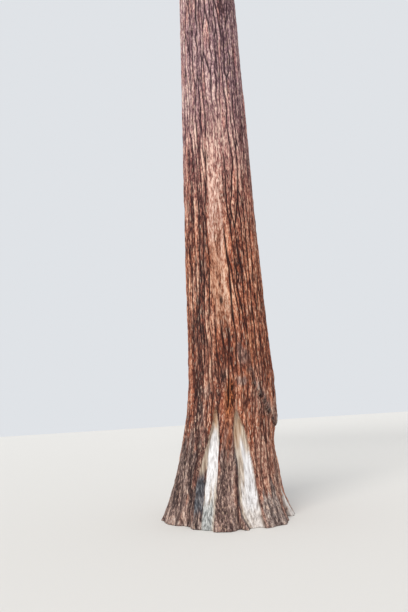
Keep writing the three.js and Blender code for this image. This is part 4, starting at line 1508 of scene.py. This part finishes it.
# Colours are as seen on a screen. Each ramp goes from the darkest fibres to the palest.
RAMPS = {
    "bark": [
        (0.0, (54, 27, 21)), (0.25, (104, 54, 40)), (0.5, (146, 84, 62)), (0.75, (190, 122, 92)),
        (1.0, (236, 186, 154)),
    ],
    "high": [
        (0.0, (70, 44, 50)), (0.25, (114, 82, 88)), (0.5, (152, 116, 122)), (0.75, (190, 152, 152)),
        (1.0, (236, 206, 196)),
    ],
    "grey": [(0.0, (44, 41, 41)), (0.3, (84, 80, 78)), (0.6, (124, 120, 117)), (1.0, (190, 186, 180))],
    "rubbed": [(0.0, (104, 61, 45)), (0.3, (158, 104, 79)), (0.6, (202, 151, 125)), (1.0, (238, 209, 188))],
    "stain": [(0.0, (46, 20, 13)), (0.45, (116, 60, 34)), (1.0, (190, 116, 72))],
    "old_wood": [(0.0, (110, 88, 72)), (0.4, (168, 148, 130)), (1.0, (216, 202, 184))],
    "grey_wood": [(0.0, (88, 88, 88)), (0.45, (148, 150, 148)), (1.0, (202, 202, 200))],
    "white_wood": [(0.0, (160, 156, 154)), (0.35, (214, 211, 211)), (1.0, (240, 239, 240))],
    "burnt": [(0.3, (24, 25, 29)), (0.5, (70, 71, 77)), (0.7, (138, 137, 138))],
    "bough": [(0.0, (44, 34, 32)), (0.4, (92, 74, 66)), (0.75, (130, 110, 100)), (1.0, (168, 150, 140))],
    "twig": [(0.25, (52, 38, 30)), (0.6, (98, 72, 54)), (0.85, (126, 100, 76))],
}
# painted shade in the furrows and seams, low and high on the trunk, partly the furrows' own deeper bark
FURROW_SHADE = (38, 21, 22)
HIGH_FURROW_SHADE = (52, 34, 40)
HIGHLIGHT = (242, 206, 180)
GLINT = (248, 214, 196)
WORN_LOW = (231, 223, 218)
WORN_HIGH = (224, 217, 227)
RUDDY = (255, 196, 170)
KNOT = (40, 26, 24)
WOOD_STREAK = (128, 112, 98)
WOOD_STAIN = (190, 138, 92)
# The bark's level is how pale it is. What it follows, and how closely.
# its rib term is painted highlight and shade: the ribs' crests paler, their seams deeper in tone
LEVEL = {
    "middle": 0.44, "shown": 0.475, "stained": 0.45, "own": 0.19, "rib_own": 0.22, "rib": 0.25, "flake": 1.3,
}
STRENGTH = {
    "grey": 0.85, "knot": 0.85, "burnt": 0.92, "wood_stain": 0.65, "seam": 0.88, "rubbed_crest": 0.95,
    "stain_plain": 1.5, "grey_plain": 0.6, "stain_smooth": 0.7,
}
FURROW_FROM = 0.25  # of a ribbon's height
SEAM_FROM = 0.15  # of a rib's
# A value, and what is added to it at the foot.
FIBRE = (1.9, 0.3)
CONTRAST = (1.35, -0.35)
RUDDINESS = (0.5, -0.4)
DULLED = (0.45, -0.3)
DEEPEST = (0.98, -0.3)
BROKEN = (0.5, 0.2)
# A value, and what is added to it higher up, or where the bark is grey, plain or smooth.
FURROW_TO = (0.78, 0.06)
SEAM_TO = (0.62, 0.12)
STAINED = (0.9, -0.6)
UNLESS_PLAIN = (1.0, -0.85)
UNLESS_SMOOTH = (1.0, -0.8)


def bark_level(n, v):
    """How pale the bark is, from 0 to 1."""
    level = LEVEL["middle"]
    for name in ("own", "rib_own", "rib"):
        level = n.add(level, v[name], LEVEL[name])
    level = n.add(level, v["fibre"], n.line(v["low"], *FIBRE))
    level = n.add(level, v["flake"], LEVEL["flake"])
    return n.add(LEVEL["shown"], level, n.line(v["low"], *CONTRAST), middle=LEVEL["middle"], clamp=True)


def bark_values(n):
    """What the bark's colours follow: the trunk's attributes, the height, two noises and the level."""
    v = {}
    for attribute, names in CHANNELS.items():
        v.update(zip(names, n.channels(attribute)))
    v["low"] = n.by_height("low")
    v["high"] = n.times(n.by_height("high"), n.by_height("high_ends"))
    v["fibre"] = n.noise("fibre")
    v["flake"] = n.mix(v["low"], n.noise("flake"), n.noise("flake_low"))
    v["level"] = bark_level(n, v)
    return v


def plain_bark(n, v):
    """Brown bark, ruddy in places, and violet higher up."""
    colour = n.mix(v["high"], n.ramp(v["level"], "bark"), n.ramp(v["level"], "high"))
    ruddy = n.times(n.over(n.noise("ruddy"), "ruddy"), n.line(v["low"], *RUDDINESS))
    return n.mix(ruddy, colour, n.mix(1.0, colour, linear(RUDDY), "MULTIPLY"))


def weathered(n, v, colour):
    """The same, greyed, rubbed smooth or stained in places; the grey also holds painted sky light on the
    left.
    """
    colour = n.mix(n.times(v["grey"], STRENGTH["grey"]), colour, n.ramp(v["level"], "grey"))
    light = n.mix(n.by_height("worn_light"), linear(WORN_LOW), linear(WORN_HIGH))
    worn = n.mix(1.0, n.ramp(v["level"], "rubbed"), light, "MULTIPLY")
    colour = n.mix(n.times(v["rubbed"], n.by_height("worn")), colour, worn)
    contrast = n.line(v["stain"], 1.0, n.by_height("stain_contrast"))
    level = n.add(LEVEL["stained"], v["level"], contrast)
    return n.mix(n.times(v["stain"], n.line(v["grey"], *STAINED)), colour, n.ramp(level, "stain"))


def with_flecks(n, v, colour):
    """Painted highlights: pale flecks on the crests of the ribs, partly their own pale frayed fibres, and
    all over the rubbed streak.
    """
    fleck_highlight = n.mix(v["low"], n.noise("fleck_highlight"), n.noise("fleck_highlight_low"))
    fleck_highlight = n.line(v["rubbed"], fleck_highlight, n.by_height("rubbed_fleck_highlights"))
    crest = n.times(n.over(v["ridge"], "ridge_crest"), n.over(v["rib"], "rib_crest"))
    crest = n.most(crest, n.times(v["rubbed"], STRENGTH["rubbed_crest"]))
    plain = n.most(n.times(v["stain"], STRENGTH["stain_plain"]), n.times(v["grey"], STRENGTH["grey_plain"]))
    crest = n.times(crest, n.line(plain, *UNLESS_PLAIN, clamp=True))
    dulled = n.line(n.most(v["rubbed"], v["low"]), *DULLED)
    glint = n.mix(n.times(v["rubbed"], n.by_height("glint")), linear(HIGHLIGHT), linear(GLINT))
    return n.mix(n.times(n.over(fleck_highlight, "fleck_highlight"), crest), colour, n.mix(dulled, glint, colour))


def with_furrows(n, v, colour):
    """Painted shade in the furrows between ribbons, the seams between ribs and fine lines, partly the
    furrows' own deeper bark; then knots, and the painted shade under the ledge.
    """
    off_line = n.math("ABSOLUTE", n.math("SUBTRACT", n.noise("lines"), 0.5))
    furrow_to, deepest = n.line(v["high"], *FURROW_TO), n.line(v["low"], *DEEPEST)
    furrow = n.spread(v["ridge"], FURROW_FROM, furrow_to, deepest, 0.0)
    seam = n.spread(v["rib"], SEAM_FROM, n.line(v["high"], *SEAM_TO), STRENGTH["seam"], 0.0)
    broken = n.times(n.over(n.noise("broken"), "broken"), n.line(v["low"], *BROKEN))
    seam = n.times(n.most(seam, n.over(off_line, "lines")), n.line(broken, 1.0, -1.0))
    smoothed = n.most(v["rubbed"], n.times(v["stain"], STRENGTH["stain_smooth"]))
    shade = n.times(n.most(furrow, seam), n.line(smoothed, *UNLESS_SMOOTH))
    colour = n.mix(shade, colour, n.mix(v["high"], linear(FURROW_SHADE), linear(HIGH_FURROW_SHADE)))
    # knots, and the painted shade along the gap under the ledge
    return n.mix(n.times(v["knot"], STRENGTH["knot"]), colour, linear(KNOT))


def with_wood(n, v, colour):
    """The scars' wood: old brown, white or grey, with streaks and stains, and burnt in places."""
    grain = n.over(n.noise("grain"), "grain")
    wood = n.mix(v["tone"], n.ramp(grain, "old_wood"), n.ramp(grain, "white_wood"))
    wood = n.mix(v["greyed"], wood, n.ramp(grain, "grey_wood"))
    wood = n.mix(n.over(n.noise("streak"), "streak"), wood, linear(WOOD_STREAK))
    wood = n.mix(n.times(v["stain"], STRENGTH["wood_stain"]), wood, linear(WOOD_STAIN))
    colour = n.mix(v["bare"], colour, wood)
    return n.mix(n.times(v["burnt"], STRENGTH["burnt"]), colour, n.ramp(v["flake"], "burnt"))


def bark_material():
    n = Nodes("bark", roughness=0.92)
    v = bark_values(n)
    colour = plain_bark(n, v)
    for step in (weathered, with_flecks, with_furrows, with_wood):
        colour = step(n, v, colour)
    n.bump(n.line(v["flake"], v["fibre"], 0.8), distance=0.01, strength=0.9)
    return n.finish(colour)


def bough_material():
    n = Nodes("bough_bark", roughness=0.92)
    ridge, _, own, _ = n.channels("form")
    fibre = n.noise("bough")
    level = n.line(ridge, n.times(own, 0.2), by=0.4)
    level = n.add(level, fibre, by=0.9, middle=0.35, clamp=True)
    n.bump(fibre, distance=0.004, strength=0.7)
    return n.finish(n.ramp(level, "bough"))


def twig_material():
    n = Nodes("twig_bark", roughness=0.9)
    fibre = n.noise("twig")
    n.bump(fibre, distance=0.002, strength=0.5)
    return n.finish(n.ramp(fibre, "twig"))


def needle_materials():
    return [Nodes(name, roughness=0.6).finish(linear(rgb)) for name, rgb in TINTS]


def floor_material():
    return Nodes("floor", roughness=0.9).finish(linear(FLOOR["colour"]))


# The camera, at the photo's viewing angle.
CAMERA = {
    "place": (0, -7.718, 1.6), "yaw": -1.367, "pitch": 15.5, "roll": 3.6, "lens": 24, "film": 36, "far": 300,
}


def add_camera():
    yaw, pitch, roll = [math.radians(CAMERA[name]) for name in ("yaw", "pitch", "roll")]
    ahead = Vector((math.sin(yaw) * math.cos(pitch), math.cos(yaw) * math.cos(pitch), math.sin(pitch)))
    right = Vector((math.cos(yaw), -math.sin(yaw), 0))
    up = right.cross(ahead)
    across = right * math.cos(roll) - up * math.sin(roll)
    above = right * math.sin(roll) + up * math.cos(roll)
    data = bpy.data.cameras.new("camera")
    data.sensor_fit = "VERTICAL"
    data.sensor_height = CAMERA["film"]
    data.lens = CAMERA["lens"]
    data.clip_end = CAMERA["far"]
    camera = bpy.data.objects.new("camera", data)
    turn = Matrix((across, above, -ahead)).transposed().to_4x4()
    camera.matrix_world = Matrix.Translation(CAMERA["place"]) @ turn
    bpy.context.scene.collection.objects.link(camera)
    bpy.context.scene.camera = camera


SKY = {"colour": (0.93, 0.96, 1.0), "strength": 0.8}
SUN = {"turn": (48, 0, -24), "energy": 2.2, "softness": 40, "colour": (1.0, 0.97, 0.93)}
FLOOR = {"half": 140, "down": 0.003, "colour": (216, 214, 210)}


def add_light_and_floor():
    world = bpy.data.worlds.new("sky")
    world.use_nodes = True
    background = world.node_tree.nodes["Background"]
    background.inputs[0].default_value = (*SKY["colour"], 1)
    background.inputs[1].default_value = SKY["strength"]
    bpy.context.scene.world = world
    sun = bpy.data.lights.new("sun", "SUN")
    sun.energy = SUN["energy"]
    sun.angle = math.radians(SUN["softness"])
    sun.color = SUN["colour"]
    lamp = bpy.data.objects.new("sun", sun)
    lamp.rotation_euler = [math.radians(a) for a in SUN["turn"]]
    bpy.context.scene.collection.objects.link(lamp)
    signs = ((-1, -1), (1, -1), (1, 1), (-1, 1))
    corners = [(FLOOR["half"] * x, FLOOR["half"] * y, -FLOOR["down"]) for x, y in signs]
    floor = new_piece("floor", corners, [np.array([[0, 1, 2, 3]])], [floor_material()])
    floor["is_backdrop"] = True


def placed(piece, slot, *nodes):
    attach(piece, "root")
    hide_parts(*nodes)


def main():
    bpy.context.scene.view_settings.view_transform = "Standard"
    add_camera()
    add_light_and_floor()
    for piece in make_trunk(bark_material()):
        placed(piece, "bark", "trunk")
    boughs = [plan_bough(i) for i in range(BOUGHS["count"])]
    wood = bough_material()
    for i, bough in enumerate(boughs):
        placed(make_bough(bough, i, wood), "bough_bark", numbered("bough", i))
    plans = plan_foliage(plan_masses(boughs), boughs)
    for piece, nodes in make_needles(plans, needle_materials()):
        placed(piece, "needles", *nodes)
    for piece, nodes in make_twigs(plans, twig_material()):
        placed(piece, "bough_bark", *nodes)
    boxes = {"cad": cad_box, "visual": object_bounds()}
    {name: [list(map(float, corner)) for corner in box] for name, box in boxes.items()}


main()
